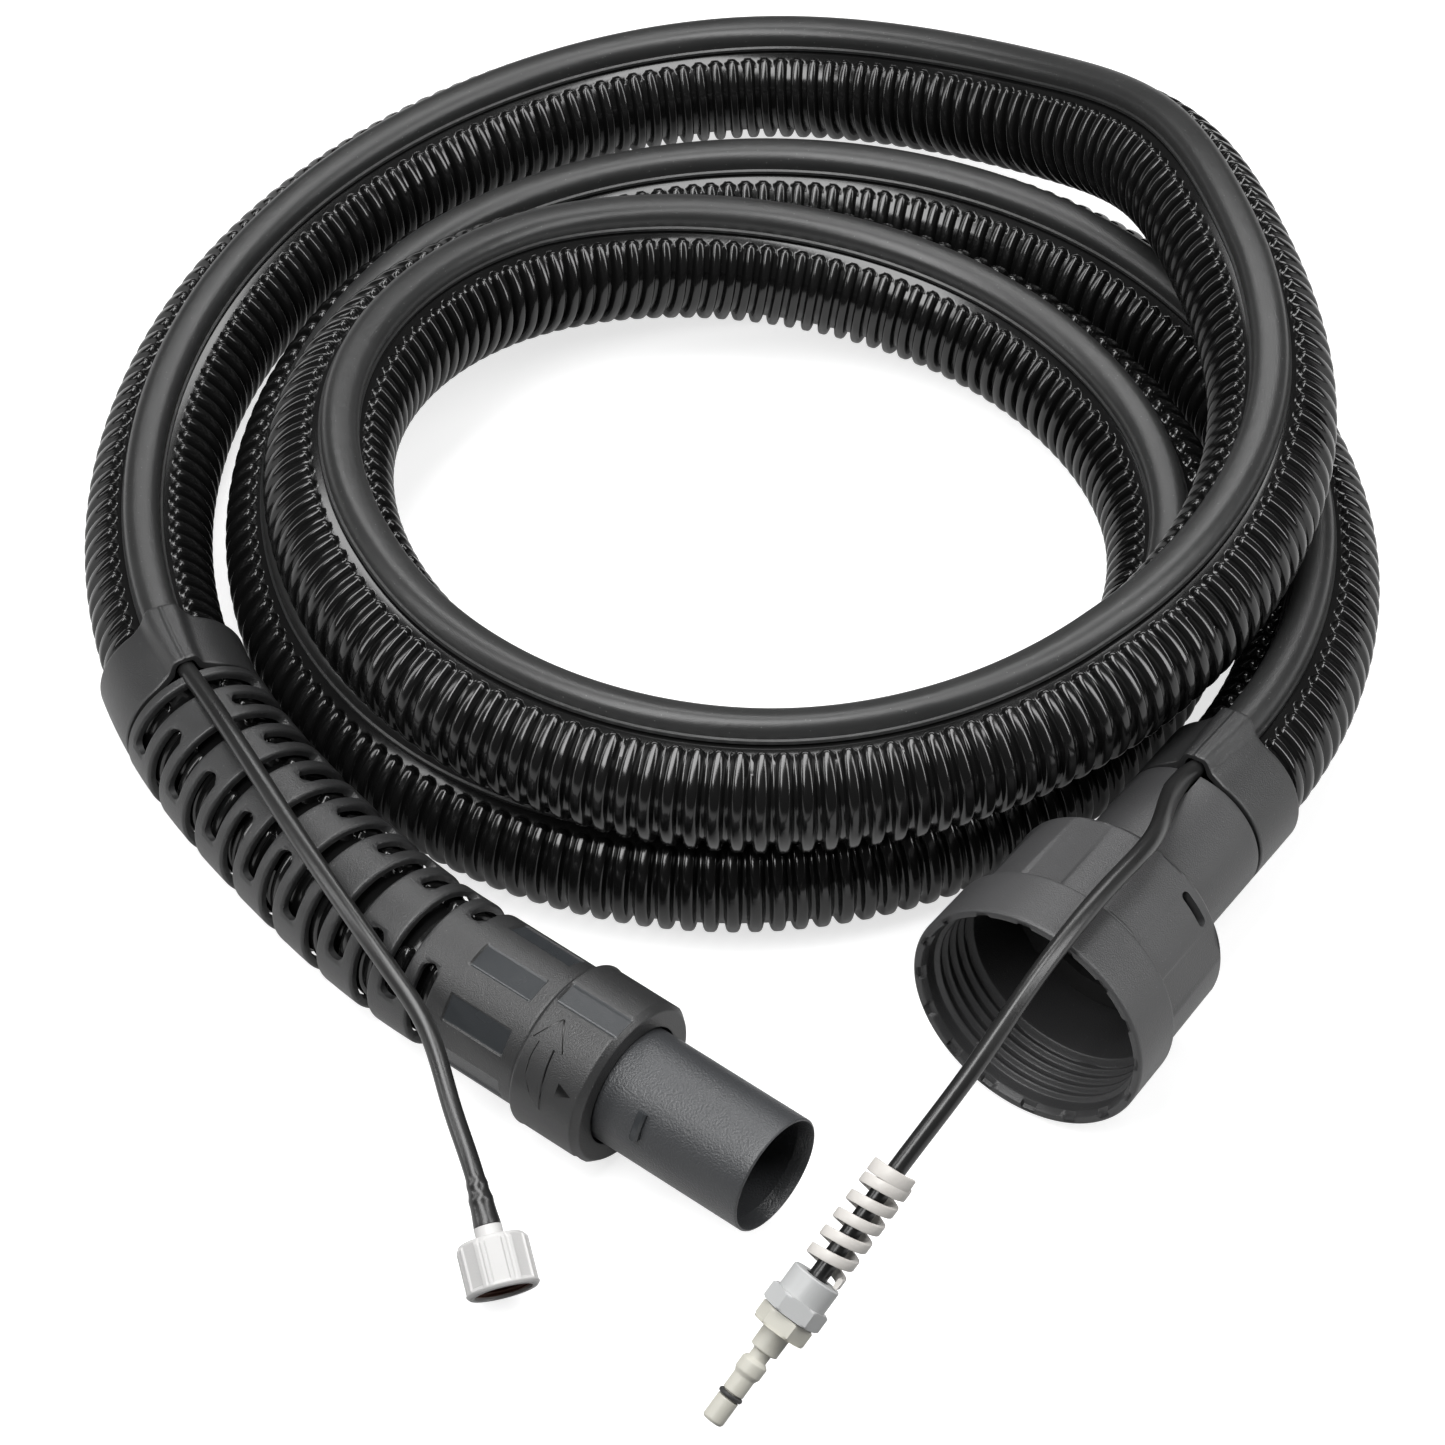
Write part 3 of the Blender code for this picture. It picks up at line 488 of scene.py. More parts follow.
def polish(item, placed, middles, half, low, high, inner):
    """Give the flat pads round a frame's axis the smoother material in the second slot, whose bluish tint is
    painted sheen.
    """
    item.data.materials.append(POLISHED_SHEEN)
    local = placed.inverted()
    for face in item.data.polygons:
        x, y, z = (local @ face.center) / MM
        angle = math.degrees(math.atan2(-x, y))
        near = min(abs(away(angle, middle)) for middle in middles) < half
        if near and low < z < high and math.hypot(x, y) > inner:
            face.material_index = 1
    return item


# --- materials --------------------------------------------------------------------------------

def plastic(name, colour, roughness, grain=2600.0, bump=0.05, mottle=0.15, streak=0.0, speck=0.0):
    """A moulded plastic with grain, uneven gloss, slight colour variation and fine dust."""
    made = bpy.data.materials.new(name)
    made.use_nodes = True
    nodes, links = made.node_tree.nodes, made.node_tree.links
    shader = nodes["Principled BSDF"]
    place = nodes.new("ShaderNodeTexCoord")

    cloud = nodes.new("ShaderNodeTexNoise")
    cloud.inputs["Scale"].default_value = 45.0
    cloud.inputs["Detail"].default_value = 5.0
    links.new(place.outputs["Object"], cloud.inputs["Vector"])
    fine = nodes.new("ShaderNodeTexNoise")
    fine.inputs["Scale"].default_value = grain
    fine.inputs["Detail"].default_value = 2.0
    links.new(place.outputs["Object"], fine.inputs["Vector"])

    shade = nodes.new("ShaderNodeMix")
    shade.data_type = "RGBA"
    dark = [c * (1 - mottle) for c in colour]
    light = [min(1.0, c * (1 + mottle)) for c in colour]
    shade.inputs["A"].default_value = (*dark, 1.0)
    shade.inputs["B"].default_value = (*light, 1.0)
    links.new(cloud.outputs["Fac"], shade.inputs["Factor"])
    last = shade.outputs["Result"]
    if speck > 0:
        dust = nodes.new("ShaderNodeTexVoronoi")
        dust.inputs["Scale"].default_value = 420.0
        links.new(place.outputs["Object"], dust.inputs["Vector"])
        spots = nodes.new("ShaderNodeMapRange")
        spots.inputs["From Min"].default_value = 0.10
        spots.inputs["From Max"].default_value = 0.05
        spots.inputs["To Max"].default_value = speck
        links.new(dust.outputs["Distance"], spots.inputs["Value"])
        dusty = nodes.new("ShaderNodeMix")
        dusty.data_type = "RGBA"
        dusty.inputs["B"].default_value = (0.32, 0.32, 0.31, 1.0)
        links.new(spots.outputs["Result"], dusty.inputs["Factor"])
        links.new(last, dusty.inputs["A"])
        last = dusty.outputs["Result"]
    links.new(last, shader.inputs["Base Color"])

    gloss = nodes.new("ShaderNodeMapRange")
    gloss.inputs["To Min"].default_value = roughness - 0.06
    gloss.inputs["To Max"].default_value = roughness + 0.08
    links.new(cloud.outputs["Fac"], gloss.inputs["Value"])
    links.new(gloss.outputs["Result"], shader.inputs["Roughness"])

    height = fine.outputs["Fac"]
    if streak > 0:
        long = nodes.new("ShaderNodeTexNoise")
        long.inputs["Scale"].default_value = 260.0
        long.inputs["Detail"].default_value = 3.0
        links.new(place.outputs["Object"], long.inputs["Vector"])
        both = nodes.new("ShaderNodeMath")
        both.operation = "MULTIPLY_ADD"
        both.inputs[1].default_value = streak
        links.new(long.outputs["Fac"], both.inputs[0])
        links.new(height, both.inputs[2])
        height = both.outputs["Value"]
    relief = nodes.new("ShaderNodeBump")
    relief.inputs["Strength"].default_value = bump
    relief.inputs["Distance"].default_value = 0.0003
    links.new(height, relief.inputs["Height"])
    links.new(relief.outputs["Normal"], shader.inputs["Normal"])
    return made


HOSE_PVC = plastic("hose_gloss_black", (0.005, 0.005, 0.005), 0.15, grain=500.0, bump=0.02, mottle=0.3)
# Smoother moulding for the flat pads and the spigot's key; its bluish tint, lighter than the plain moulding,
# is painted sheen
POLISHED_SHEEN = plastic("polished_pad_sheen", (0.026, 0.0285, 0.031), 0.25, grain=2400.0, bump=0.12, mottle=0.06)
STRIP_PVC = plastic("channel_satin", (0.018, 0.0182, 0.0182), 0.36, bump=0.16, streak=2.5, speck=0.25)
MOULDING = plastic("dark_moulding", (0.022, 0.0222, 0.0226), 0.38, grain=2200.0, bump=0.5, speck=0.2)
NUT_MOULDING = plastic(
    "nut_moulding", (0.038, 0.038, 0.039), 0.42, grain=2200.0, bump=0.45, mottle=0.14, speck=0.2
)
GRAINED = plastic("grained_moulding", (0.036, 0.0375, 0.040), 0.36, grain=1500.0, bump=0.7, mottle=0.12)
LINE_TUBE = plastic(
    "line_black", (0.012, 0.012, 0.012), 0.28, grain=900.0, bump=0.08, mottle=0.3, streak=1.0
)
RUBBER = plastic("seal_rubber", (0.016, 0.016, 0.016), 0.6, grain=1800.0, bump=0.2)
RING_GREY = plastic("ring_grey", (0.30, 0.30, 0.29), 0.45, bump=0.1)
WHITE = plastic("white_fitting", (0.46, 0.455, 0.45), 0.38, grain=1400.0, bump=0.12, mottle=0.06, speck=0.2)
FIBRE = plastic("washer_fibre", (0.13, 0.06, 0.04), 0.6, grain=1400.0, bump=0.4, mottle=0.3)
WARM_WHITE = plastic(
    "coil_white", (0.50, 0.48, 0.455), 0.42, grain=900.0, bump=0.25, mottle=0.07, speck=0.15
)
COOL_GREY = plastic(
    "grey_fitting", (0.38, 0.385, 0.385), 0.40, grain=1400.0, bump=0.12, mottle=0.06, speck=0.2
)
BEIGE = plastic("beige_fitting", (0.44, 0.43, 0.38), 0.45, grain=1400.0, bump=0.15, mottle=0.08, speck=0.2)


def finished(item, body, material, slot, *stands_for, sharp=38.0):
    """Give a piece its look, its body and the solids it stands for."""
    item.data.materials.clear()
    item.data.materials.append(material)
    item.data.shade_smooth()
    item.data.set_sharp_from_angle(angle=math.radians(sharp))
    if body is not None:
        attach(item, body)
    if stands_for:
        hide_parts(*stands_for)
    return item


# --- hose, strip and collars ------------------------------------------------------------------

def build_hose():
    """The ribbed hose: raised ribs with round ends on a smooth tube."""
    total = HOSE.length
    count = int(total / RIB_PITCH)
    pitch = total / count
    half_rib = np.array((0.0, 0.45, 0.9, 1.3, 1.65, 1.95, RIB_HALF))
    offsets = np.concatenate(([-0.5 * pitch], -half_rib[:0:-1], half_rib))
    middles = (np.arange(count) + 0.5) * pitch
    along = (middles[:, None] + offsets[None, :]).ravel()
    from_rib = np.tile(np.abs(offsets), count)
    along = np.append(along, total)
    from_rib = np.append(from_rib, 0.5 * pitch)
    half = np.array((0.0, 10.0, 18.0, 23.0, 26.5, 28.2, 29.2, 30.3, 31.5, 33.0, RIB_FULL))
    rest = np.linspace(39.0, 180.0, 28)[:-1]
    turns = np.concatenate((half, rest, [180.0], -rest[::-1], -half[:0:-1]))
    past = np.maximum(RIB_FULL - np.abs(turns), 0.0) * math.radians(1) * HOSE_CREST
    distance = np.minimum(np.hypot(from_rib[:, None], past[None, :]) / RIB_HALF, 1.0)
    radius = HOSE_VALLEY + (HOSE_CREST - HOSE_VALLEY) * np.cos(math.pi / 2 * distance**2) ** 0.8
    outer = HOSE.polar(along[:, None], np.radians(turns)[None, :], radius)
    back = np.linspace(total, 0.0, 240)
    inner = HOSE.polar(back[:, None], np.radians(turns)[None, :], HOSE_BORE)
    hose = lattice("hose_ribbed", np.concatenate((outer, inner)), wrap_rows=True)
    return finished(hose, "hose", HOSE_PVC, "hose", "suction_hose", sharp=75.0)


def build_strip():
    """The channel strip: a rounded cap over the spray line, stepped in above its feet."""
    inside = COLLAR_LENGTH / 2
    along = np.arange(WAND_COLLAR + inside, MACHINE_COLLAR - inside, 2.5)
    half = [
        (6.6, 17.5), (6.6, 18.5), (5.9, 18.9), (5.9, 20.6),
        (5.5, 22.4), (4.7, 23.6), (3.3, 24.5), (1.7, 24.85),
    ]
    inner = [(3.2, 24.0), (3.2, 18.2)]
    outline = half + [(0.0, 24.9)] + [(-x, y) for x, y in half[::-1]]
    outline = np.array(outline + [(-x, y) for x, y in inner[::-1]] + inner)
    grid = HOSE.point(along[:, None], outline[None, :, 0], outline[None, :, 1])
    strip = lattice("channel_strip", grid)
    return finished(strip, "hose", STRIP_PVC, "channel", "line_channel", sharp=50.0)


def bump_outline(turns, radius, half_width, top, ridge=0.0):
    """Radius at each angle of a circle with a coved arch on the strip side."""
    across = np.abs(np.sin(turns)) + 1e-6
    upward = np.maximum(np.cos(turns), 1e-6)
    bump = ((top / upward) ** -5.0 + (half_width / across) ** -5.0) ** (-1 / 5.0)
    bump = np.where(np.cos(turns) > 0, bump, 0.0)
    shape = (radius**16.0 + bump**16.0) ** (1 / 16.0)
    return shape + ridge * np.exp(-((top * np.sin(turns) / 0.6) ** 4)) * (np.cos(turns) > 0)


def build_collar(name, front, rear_sign, node):
    """A collar round the hose, with a coved tunnel that narrows from the strip to the thin line."""
    near = np.linspace(0.0, 34.0, 52)
    far = np.linspace(36.0, 180.0, 42)
    turns = np.radians(np.concatenate((near, far[:-1], [180.0], -far[-2::-1], -near[:0:-1])))
    shift = TUNNEL_SHIFT * (1 - step(np.degrees(np.abs(turns)), 19.0, 22.0))

    def layer(depth, radius, narrow, widening, top, ridge, drop):
        wide = narrow + widening * step(depth, COLLAR_LENGTH / 2, 22.0)[:, None]
        outline = bump_outline(turns[None, :], radius, wide, top, ridge) - drop[:, None]
        along = front + rear_sign * (depth[:, None] + shift[None, :] * (1 + 0.025 * depth[:, None]))
        return HOSE.polar(along, turns[None, :], outline)

    rounding = (COLLAR_GAP, 0.8, 1.1, 23.5, 23.88, COLLAR_LENGTH)
    depth = np.concatenate((rounding[:3], np.linspace(1.8, 22.8, 12), rounding[3:]))
    drop = np.interp(depth, rounding, (0.5, 0.2, 0.0, 0.0, 0.2, 0.55))
    skin = layer(depth, COLLAR_RADIUS, 5.6, 1.5, 26.9, 0.3, drop)
    back = np.array((COLLAR_LENGTH, 16.0, 8.0, COLLAR_GAP))
    lining = layer(back, COLLAR_BORE, 4.1, 2.0, 25.5, 0.0, np.zeros(4))
    collar = lattice(name, np.concatenate((skin, lining)), wrap_rows=True)
    return finished(collar, "hose", MOULDING, "moulding", node)


# --- wand end ---------------------------------------------------------------------------------

def cuff_relief(distance, turns):
    """Radius of the cuff and sleeve: flat pads pressed into the cuff."""
    radius = np.full(np.broadcast_shapes(distance.shape, turns.shape), CUFF_RADIUS)
    along = window(HOSE_START - distance, *PAD_SPAN, 0.3)
    for middle in CUFF_PADS:
        off = away(np.degrees(turns), middle)
        inside = window(off, -10.6, 10.6, 0.9) * along
        radius = pressed(radius, flat_face(off, CUFF_FLAT, 14), inside)
    return radius


def slot_drop(distance, turns):
    """How far the sleeve's surface rounds down towards the nearest slot's edge."""
    reach = SLOT_REACH * CUFF_RADIUS - SLOT_WIDTH / 2
    gap = np.full(np.broadcast_shapes(distance.shape, turns.shape), SLOT_ROUNDING)
    for index in range(SLOT_COUNT):
        for middle in slot_middles(index):
            side = np.abs(away(np.degrees(turns - middle), 0.0)) * math.radians(1) * CUFF_RADIUS
            past = np.hypot(np.maximum(side - reach, 0.0), distance - FIRST_SLOT - index * SLOT_PITCH)
            gap = np.minimum(gap, past - SLOT_WIDTH / 2)
    gap = np.clip(gap, 0.0, SLOT_ROUNDING)
    return SLOT_ROUNDING - np.sqrt(SLOT_ROUNDING**2 - (SLOT_ROUNDING - gap) ** 2)


def slot_middles(index):
    """Angles of the middles of a slot and the one opposite it."""
    first = math.radians(SLOT_TURN) + (math.pi / 2 if index % 2 == 0 else 0.0)
    return first, first + math.pi


def build_sleeve():
    """The cuff with its flat pads and the slotted sleeve behind it."""
    columns = 300
    turns = np.linspace(0.0, 2 * math.pi, columns, endpoint=False)
    start = -21.7
    end = WAND_COLLAR - COLLAR_GAP
    cuff = np.arange(start + 0.5, FIRST_SLOT - 5.5, 0.5)
    edge = SLOT_WIDTH / 2 + np.array((0.0, 0.3, 0.6, 0.95))
    across = (*-edge[::-1], 0.0, *edge, SLOT_PITCH / 2)
    rungs = [FIRST_SLOT + k * SLOT_PITCH + value for k in range(SLOT_COUNT) for value in across]
    rungs = [value for value in rungs if value < end - 0.5]
    along = np.array([start, start + 0.1, *cuff, *rungs, end - 0.3, end])
    radius = cuff_relief(along[:, None], turns[None, :]) - slot_drop(along[:, None], turns[None, :])
    radius[0] -= 0.5
    radius[1] -= 0.15
    radius[-1] -= 0.4
    outer = SLEEVE.polar(along[:, None], turns[None, :], radius)
    back = np.concatenate((np.arange(end, -11.0, -4.0), [-12.0, -12.0, start]))
    bore = np.full(len(back), SLEEVE_BORE)
    bore[-2:] = CUFF_BORE
    inner = SLEEVE.polar(back[:, None], turns[None, :], np.repeat(bore[:, None], columns, axis=1))
    sleeve = lattice("bend_sleeve_slotted", np.concatenate((outer, inner)), wrap_rows=True)
    bars = []
    for index in range(SLOT_COUNT):
        place = FIRST_SLOT + index * SLOT_PITCH
        for middle in slot_middles(index):
            corners = cutter_bar(SLEEVE, middle, SLOT_REACH, place, SLOT_WIDTH, (19.8, 26.0))
            bars.append(lattice("slot_cutter", corners))
    carved(sleeve, joined("slot_cutters", bars))
    finished(sleeve, "hose", MOULDING, "moulding", "bend_sleeve")
    polish(sleeve, WAND, CUFF_PADS, 10.4, PAD_SPAN[0] + 0.1, PAD_SPAN[1] - 0.1, 22.5)


def build_wand_end():
    """The turning spigot and the lock ring."""
    body = softened([
        (16.8, 75.0), (18.2, 80.0), (SPIGOT_RADIUS, 79.6), (SPIGOT_RADIUS, -13.5),
        (20.4, -13.5), (20.4, -17.0), (16.8, -17.0),
    ], 0.25)
    spigot = turned("spigot_tube", WAND, dense(body, 3.0), 144)
    finished(spigot, "wand_spigot", GRAINED, "moulding", "wand_spigot")
    key = [(45.5, 41.4, 42.6), (46.5, 40.5, 43.5), (72.5, 40.5, 43.5), (73.5, 41.4, 42.6)]
    finished(raised_mark("spigot_key", WAND, key, SPIGOT_RADIUS, 1.8), "wand_spigot", POLISHED_SHEEN, "moulding")

    def flats(radius, height, angle):
        shaped = radius.copy()
        for middle in RING_PADS:
            off = away(angle, middle)
            inside = window(off, -9.0, 9.0, 0.8) * window(height, 2.2, 24.8, 0.3)
            flattened = pressed(shaped, flat_face(off, RING_FLAT, 14), inside)
            shaped = np.where(radius > RING_RADIUS - 0.5, flattened, shaped)
        return shaped

    shell = softened([
        (19.6, 26.5), (25.2, 26.5), (RING_RADIUS, 24.3), (RING_RADIUS, 1.6), (25.4, 0.3), (19.6, 0.3),
    ], 0.4)
    ring = turned("lock_ring_shell", WAND, dense(shell, 0.5), 300, flats)
    finished(ring, "lock_ring", MOULDING, "moulding", "lock_ring")
    polish(ring, WAND, RING_PADS, 8.8, 2.4, 24.6, 25.9)
    arrow = [
        (20, 8.3, 8.4), (38.4, 3.0, 13.8), (38.6, 5.5, 10.9), (50, 5.2, 11.2), (62, 5.8, 11.8),
        (72, 8.6, 12.3), (80, 11.6, 12.7),
    ]
    # The gloss-black rim, a little wider than the arrow and under it, is painted shade along the arrow's
    # raised edge
    rim = [(angle + (angle - 50) / 40, low - 0.35, high + 0.35) for angle, low, high in arrow]
    pointer = [(55, 16.9, 17.0), (59.5, 16.9, 22.0), (64, 16.9, 17.0)]
    marks = (
        ("lock_arrow_shade_rim", rim, 0.12, HOSE_PVC),
        ("lock_arrow", arrow, 0.4, MOULDING),
        ("lock_pointer", pointer, 0.3, HOSE_PVC),
    )
    for name, edges, thick, material in marks:
        finished(raised_mark(name, WAND, edges, RING_RADIUS, thick), "lock_ring", material, "moulding")


# --- machine end ------------------------------------------------------------------------------

def build_neck():
    """The neck behind the coupling nut, notched at its rear edge for the spray line."""
    outline = softened([
        (17.2, -46.5), (30.0, -46.5), (30.0, -49.5), (COLLAR_RADIUS, -49.5), (COLLAR_RADIUS, NECK_END),
        (COLLAR_BORE, NECK_END), (COLLAR_BORE, -58.0), (17.2, -58.0),
    ], 0.45)
    neck = turned("neck_tube", MACHINE, dense(outline, 2.0), 144)
    notch = box("neck_notch", MACHINE @ polar_place(8.0, 23.0, NECK_END), (8.0, 7.0, 22.0))
    bevel = notch.modifiers.new("round", "BEVEL")
    bevel.width = 0.003
    bevel.segments = 6
    carved(neck, notch)
    return finished(neck, "hose", NUT_MOULDING, "moulding", "coupling_neck")


def axis_track(placed, low, high):
    """A track along a frame's axis whose angles match the frame's and whose distances are heights."""
    points = np.array([on_axis(placed, low), on_axis(placed, high)])
    track = Track(points, offset=low)
    track.side = -track.side
    return track


def build_nut():
    """The coupling nut: smooth band, grip flats, a window, notched lip and internal thread."""
    outline = [
        (36.9, 0.0), (39.0, 0.0), (39.5, -0.8), (39.1, -19.6), (36.9, -20.4), (36.2, -51.5), (32.8, -55.0),
        (24.2, -55.0), (24.2, -52.4), (33.4, -52.4), (33.4, -24.5), (THREAD_ROOT, -23.0),
    ]
    for middle in THREAD_MIDDLES:
        outline += [
            (THREAD_ROOT, middle - 1.3),
            (THREAD_CREST, middle - 0.35),
            (THREAD_CREST, middle + 0.35),
            (THREAD_ROOT, middle + 1.3),
        ]
    outline.append((THREAD_ROOT, -2.4))

    def grip(radius, height, angle):
        shaped = radius.copy()
        along = window(height, -52.0, -21.2, 0.5)
        for k in range(8):
            off = away(angle, 45.0 * k + 18.0)
            inside = window(off, -11.0, 11.0, 0.8) * along
            flattened = pressed(shaped, flat_face(off, GRIP_FLAT, 16), inside)
            shaped = np.where(radius > 36.0, flattened, shaped)
        lip = (radius < 37.2) & (height > -1.6)
        for k in range(16):
            notch = window(away(angle, 22.5 * k + 6.0), -3.4, 3.4, 0.9)
            shaped = np.where(lip, shaped + 1.3 * notch, shaped)
        return shaped

    nut = turned("coupling_nut_shell", MACHINE, dense(softened(outline, 0.3, 2), 0.7), 360, grip)
    track = axis_track(MACHINE, -60.0, 10.0)
    corners = cutter_bar(track, math.radians(-49.0), 0.17, -47.0, 3.2, (30.0, 42.0))
    carved(nut, lattice("window_cutter", corners))
    finished(nut, "coupling_nut", NUT_MOULDING, "moulding", "coupling_nut")


# --- spray line tails and fittings ------------------------------------------------------------

def tail_track(distance, inward, over, rear, last, placed, rise):
    """The line of a tail: from inside its collar's tunnel to its fitting."""
    inside = HOSE.point(distance - inward * 9.0, 0.0, 21.0)
    start = HOSE.point(distance, 0.0, LINE_EXIT)
    along = HOSE.pick(HOSE.along, distance)[0] * inward
    over = [COIL_MIDDLE + Vector(point) for point in over]
    bend = smooth_line([start, *over, rear], along + np.array((0.0, 0.0, rise)), heading_of(placed))
    return Track(np.vstack(([inside], bend, [last]))), start, along


def finish_tail(name, track, marks, radii, node):
    """A thin line's tube, which bends from the hose to its own body past the tunnel's mouth."""
    line = tube(name, track, marks, radii)
    finished(line, None, LINE_TUBE, "line", node, sharp=60.0)
    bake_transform(line)


def build_wand_tail():
    """The thin line beside the sleeve, swollen where it is pushed over the barbs."""
    over = [
        (-140.4, -157.4, 54.0),
        (-121.8, -187.8, 50.5),
        (-111.0, -203.5, 46.5),
        (-101.4, -218.3, 41.5),
        (-93.2, -241.5, 32.0),
    ]
    rear, last = on_axis(WAND_NUT, -31.5), on_axis(WAND_NUT, -20.2)
    track, start, along = tail_track(WAND_COLLAR - 1.5, -1.0, over, rear, last, WAND_NUT, 0.2)
    swollen = track.length - 16.0
    marks = np.concatenate((np.arange(0.0, swollen, 2.0), np.linspace(swollen, track.length, 34)))
    left = track.length - marks
    humps = sum(0.25 * np.exp(-(((left - middle) / 1.3) ** 2)) for middle in (12.5, 8.0))
    flare = 0.9 * (1 - step(left, 9.0, 12.0)) + 0.35 * (1 - step(left, 2.0, 5.0))
    radii = LINE_RADIUS + humps + flare
    finish_tail("wand_line_tube", track, marks, radii, "wand_line_tail")


def build_wand_fitting():
    """The white nut with its ribs and a brown thread lining that paints the shade in its mouth, and the
    tailpiece in it.
    """
    piece = softened([
        (1.2, -9.9), (7.6, -9.9), (7.6, -12.3), (4.2, -12.3),
        (4.2, -20.0), (1.6, -20.0), (1.6, -24.0), (1.2, -24.0),
    ], 0.2)
    tailpiece = turned("line_tailpiece", WAND_NUT, piece, 64)
    finished(tailpiece, "wand_line", WHITE, "white_fitting", "wand_line_tailpiece")

    def ribs(radius, height, angle):
        past_rib = (angle - 27.5) % 45.0
        from_rib = np.minimum(past_rib, 45.0 - past_rib)
        along = window(height, -15.4, -1.7, 0.5)
        panel = 10.15 / np.cos(np.radians(22.5 - from_rib))
        seam = 0.22 * (1 - step(from_rib, 1.8, 1.6)) * along
        shaped = pressed(radius, panel, step(from_rib, 9.2, 1.7) * along) - seam
        return np.where(radius > 9.5, shaped, radius)

    shell = [
        (8.7, 0.0), (10.2, 0.0), (11.0, -0.9), (11.0, -14.2),
        (9.6, -16.0), (4.6, -16.0), (4.6, -12.9), (8.7, -12.9),
    ]
    nut = turned("line_nut_ribbed", WAND_NUT, dense(softened(shell, 0.25, 2), 0.5), 320, ribs)
    finished(nut, "wand_line_nut", WHITE, "white_fitting", "wand_line_nut", sharp=28.0)
    # Thin thread-shaped lining near the nut's mouth, in the washer's brown: painted shade in the bore, along
    # with the brown of the washer deeper in
    thread = [(8.6, -1.0), (8.6, -7.6)]
    thread += [(8.15 - 0.3 * (-1) ** k, -7.6 + 0.55 * k) for k in range(13)]
    lining = turned("line_nut_thread_shade", WAND_NUT, thread, 96)
    finished(lining, "wand_line_nut", FIBRE, "washer")


def build_machine_tail():
    """The thin line over the coupling nut."""
    over = [
        (112.3, -177.0, 77.0),
        (100.2, -197.0, 82.0),
        (84.7, -220.5, 83.5),
        (70.8, -240.8, 79.5),
        (57.0, -259.5, 71.5),
    ]
    rear, last = on_axis(PLUG, -55.0), on_axis(PLUG, -11.6)
    track, start, along = tail_track(MACHINE_COLLAR + 1.5, 1.0, over, rear, last, PLUG, 0.25)
    marks = np.arange(0.0, track.length, 2.0)
    radii = LINE_RADIUS + 0.35 * np.exp(-(((marks - 20.0) / 10.0) ** 2))
    finish_tail("machine_line_tube", track, marks, radii, "machine_line_tail")


def build_coil():
    """The bend spring: a flat open spiral whose last turn is a thicker closed ring."""
    steps = np.linspace(0.0, SPRING_TURNS, int(SPRING_TURNS * 36) + 1)
    turn = -2 * math.pi * steps
    late = step(steps, SPRING_OPEN, 0.7)
    rise = SPRING_PITCH * np.minimum(steps, SPRING_OPEN)
    rise += SPRING_CLOSED_PITCH * np.maximum(steps - SPRING_OPEN, 0.0)
    section = np.array(softened([(-0.85, -1.7), (0.85, -1.7), (0.85, 1.7), (-0.85, 1.7)], 0.5, 2))
    radius = SPRING_RADIUS + section[None, :, 0]
    local = np.stack((
        radius * np.cos(turn)[:, None],
        radius * np.sin(turn)[:, None],
        SPRING_START - rise[:, None] + section[None, :, 1] * (1 + 0.3 * late[:, None]),
    ), axis=-1)
    coil = lattice("bend_spring", in_frame(PLUG, local))
    return finished(coil, "machine_line", WARM_WHITE, "coil", "bend_coil", sharp=50.0)


def hexagon(across_flats, turn, low, high, chamfer):
    """A relief that makes a turned band a hexagon with chamfered corners."""

    def shape(radius, height, angle):
        off = np.abs(away((angle - turn) % 60.0, 30.0))
        flat = across_flats / 2 / np.cos(np.radians(off))
        ends = np.minimum(height - low, high - height)
        cone = across_flats / 2 + chamfer + ends * 1.6
        inside = (height > low - 0.01) & (height < high + 0.01) & (radius > across_flats / 2)
        return np.where(inside, np.minimum(flat, cone), radius)

    return shape


def build_plug_fittings():
    """The compression nut and the plug with its stem and O-ring."""
    nut = [
        (8.3, -5.3), (9.6, -5.3), (9.6, -11.0), (7.8, -11.0), (7.8, -18.3),
        (7.4, -18.7), (3.6, -18.7), (3.6, -16.3), (5.9, -16.3), (5.9, -5.3),
    ]
    facets = hexagon(16.6, 0.0, -11.0, -5.3, 0.5)
    barrel = turned("compression_nut_body", PLUG, dense(nut, 0.5), 180, facets)
    finished(barrel, "compression_nut", COOL_GREY, "grey_fitting", "compression_nut")
    stem = softened([
        (1.3, 32.5), (2.9, 32.5), (3.4, 31.8), (3.4, 24.4), (2.7, 24.2), (2.7, 22.4), (3.4, 22.2),
        (3.4, 16.6), (4.15, 15.2), (4.15, 11.6), (3.5, 10.9), (2.9, 10.4), (2.9, 7.9), (4.4, 7.3), (4.5, 0.4),
    ], 0.18, 2)
    base = [(8.9, 0.4), (8.9, -5.0), (5.5, -5.0), (5.5, -11.2), (1.6, -11.2), (1.6, -24.0), (1.3, -24.0)]
    facets = hexagon(14.9, 12.0, -5.0, 0.4, 0.45)
    plug = turned("plug_body", PLUG, dense(stem + base, 0.5), 180, facets)
    finished(plug, "machine_line", BEIGE, "beige_fitting", "plug_nipple")
    around = np.linspace(0, 2 * math.pi, 13)[:-1]
    loop = [(3.3 + 0.62 * math.cos(a), 23.3 + 0.75 * math.sin(a)) for a in around]
    ring = turned("plug_seal_ring", PLUG, loop, 64)
    finished(ring, "machine_line", RUBBER, "seal", "plug_o_ring", sharp=80.0)


# --- hidden solids that stay ------------------------------------------------------------------

def dress_solids():
    """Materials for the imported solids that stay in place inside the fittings."""
    looks = {
        "spray_line": LINE_TUBE,
        "wand_hose_nipple": MOULDING,
        "spigot_seal": RUBBER,
        "swivel_bearing_ring": RING_GREY,
        "machine_hose_nipple": MOULDING,
        "nut_thrust_ring": NUT_MOULDING,
        "coupling_seal": RUBBER,
        "wand_line_washer": FIBRE,
        "clamp_olive": COOL_GREY,
    }
    for node, material in looks.items():
        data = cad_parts[node].data
        data.materials.clear()
        data.materials.append(material)


# --- stage ------------------------------------------------------------------------------------

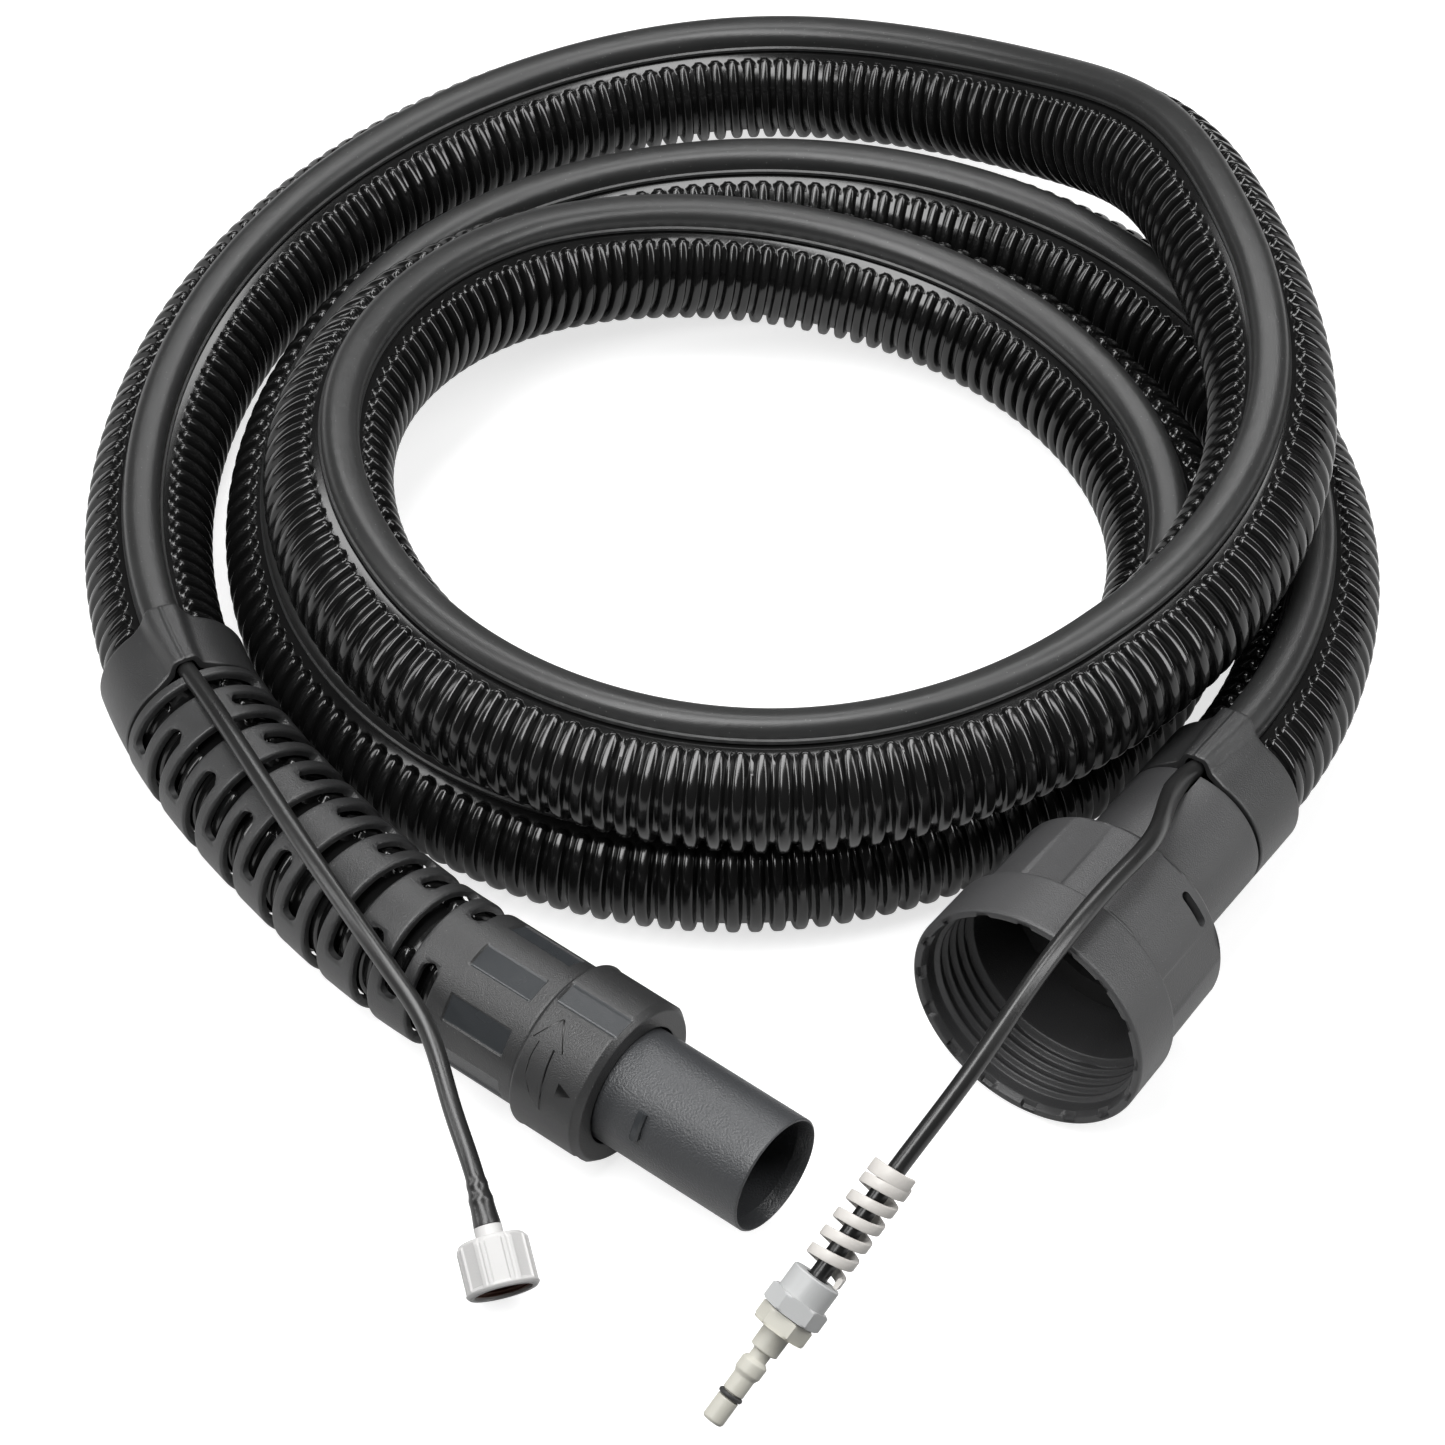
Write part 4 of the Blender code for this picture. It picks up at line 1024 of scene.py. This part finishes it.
def build_stage():
    """A plain pale floor, soft studio light and the camera."""
    bpy.ops.mesh.primitive_plane_add(size=30.0, location=(0.0, 0.0, -0.0012))
    floor = bpy.context.object
    floor.name = "studio_floor"
    made = bpy.data.materials.new("floor_white")
    made.use_nodes = True
    nodes, links = made.node_tree.nodes, made.node_tree.links
    shader = nodes["Principled BSDF"]
    shader.inputs["Roughness"].default_value = 0.9
    cloud = nodes.new("ShaderNodeTexNoise")
    cloud.inputs["Scale"].default_value = 3.0
    tone = nodes.new("ShaderNodeMix")
    tone.data_type = "RGBA"
    tone.inputs["A"].default_value = (0.50, 0.50, 0.50, 1.0)
    tone.inputs["B"].default_value = (0.53, 0.53, 0.53, 1.0)
    links.new(cloud.outputs["Fac"], tone.inputs["Factor"])
    links.new(tone.outputs["Result"], shader.inputs["Base Color"])
    shader.inputs["Emission Color"].default_value = (1.0, 1.0, 1.0, 1.0)
    ray = nodes.new("ShaderNodeLightPath")
    glow = nodes.new("ShaderNodeMapRange")
    glow.inputs["To Min"].default_value = 0.72
    glow.inputs["To Max"].default_value = 0.12
    links.new(ray.outputs["Is Glossy Ray"], glow.inputs["Value"])
    links.new(glow.outputs["Result"], shader.inputs["Emission Strength"])
    floor.data.materials.append(made)
    floor.visible_diffuse = False

    world = bpy.data.worlds.new("studio_world")
    world.use_nodes = True
    sky = world.node_tree.nodes["Background"]
    sky.inputs["Color"].default_value = (1.0, 1.0, 1.0, 1.0)
    sky.inputs["Strength"].default_value = 0.07
    bpy.context.scene.world = world

    lamps = (
        ("top_softbox", (-0.25, -0.35, 1.40), (0.50, 1.9), 30.0),
        ("right_softbox", (1.10, -0.30, 0.95), (0.35, 1.8), 16.0),
        ("left_softbox", (-1.25, -0.20, 0.85), (0.25, 1.6), 8.0),
        ("back_softbox", (0.0, 0.95, 1.20), (1.5, 0.30), 11.0),
    )
    for name, place, size, power in lamps:
        light = bpy.data.lights.new(name, "AREA")
        light.shape = "RECTANGLE"
        light.size, light.size_y = size
        light.energy = power
        lamp = bpy.data.objects.new(name, light)
        lamp.location = COIL_MIDDLE * MM + Vector(place)
        lamp.rotation_euler = (-Vector(place)).to_track_quat("-Z", "Y").to_euler()
        bpy.context.scene.collection.objects.link(lamp)

    camera = bpy.data.objects.new("camera", bpy.data.cameras.new("camera"))
    camera.data.lens = 148.2
    camera.data.sensor_width = 36.0
    camera.data.clip_end = 60.0
    camera.location = (-0.002, -1.26815, 1.4045)
    aim = Vector((-0.002, -0.01245, 0.0)) - camera.location
    camera.rotation_euler = aim.to_track_quat("-Z", "Y").to_euler()
    bpy.context.scene.collection.objects.link(camera)
    bpy.context.scene.camera = camera
    bpy.context.scene.view_settings.view_transform = "Standard"


build_hose()
build_strip()
build_collar("wand_collar_tunnel", WAND_COLLAR, 1, "wand_channel_collar")
build_collar("machine_collar_tunnel", MACHINE_COLLAR, -1, "machine_channel_collar")
build_sleeve()
build_wand_end()
build_neck()
build_nut()
build_wand_tail()
build_wand_fitting()
build_machine_tail()
build_coil()
build_plug_fittings()
dress_solids()
build_stage()
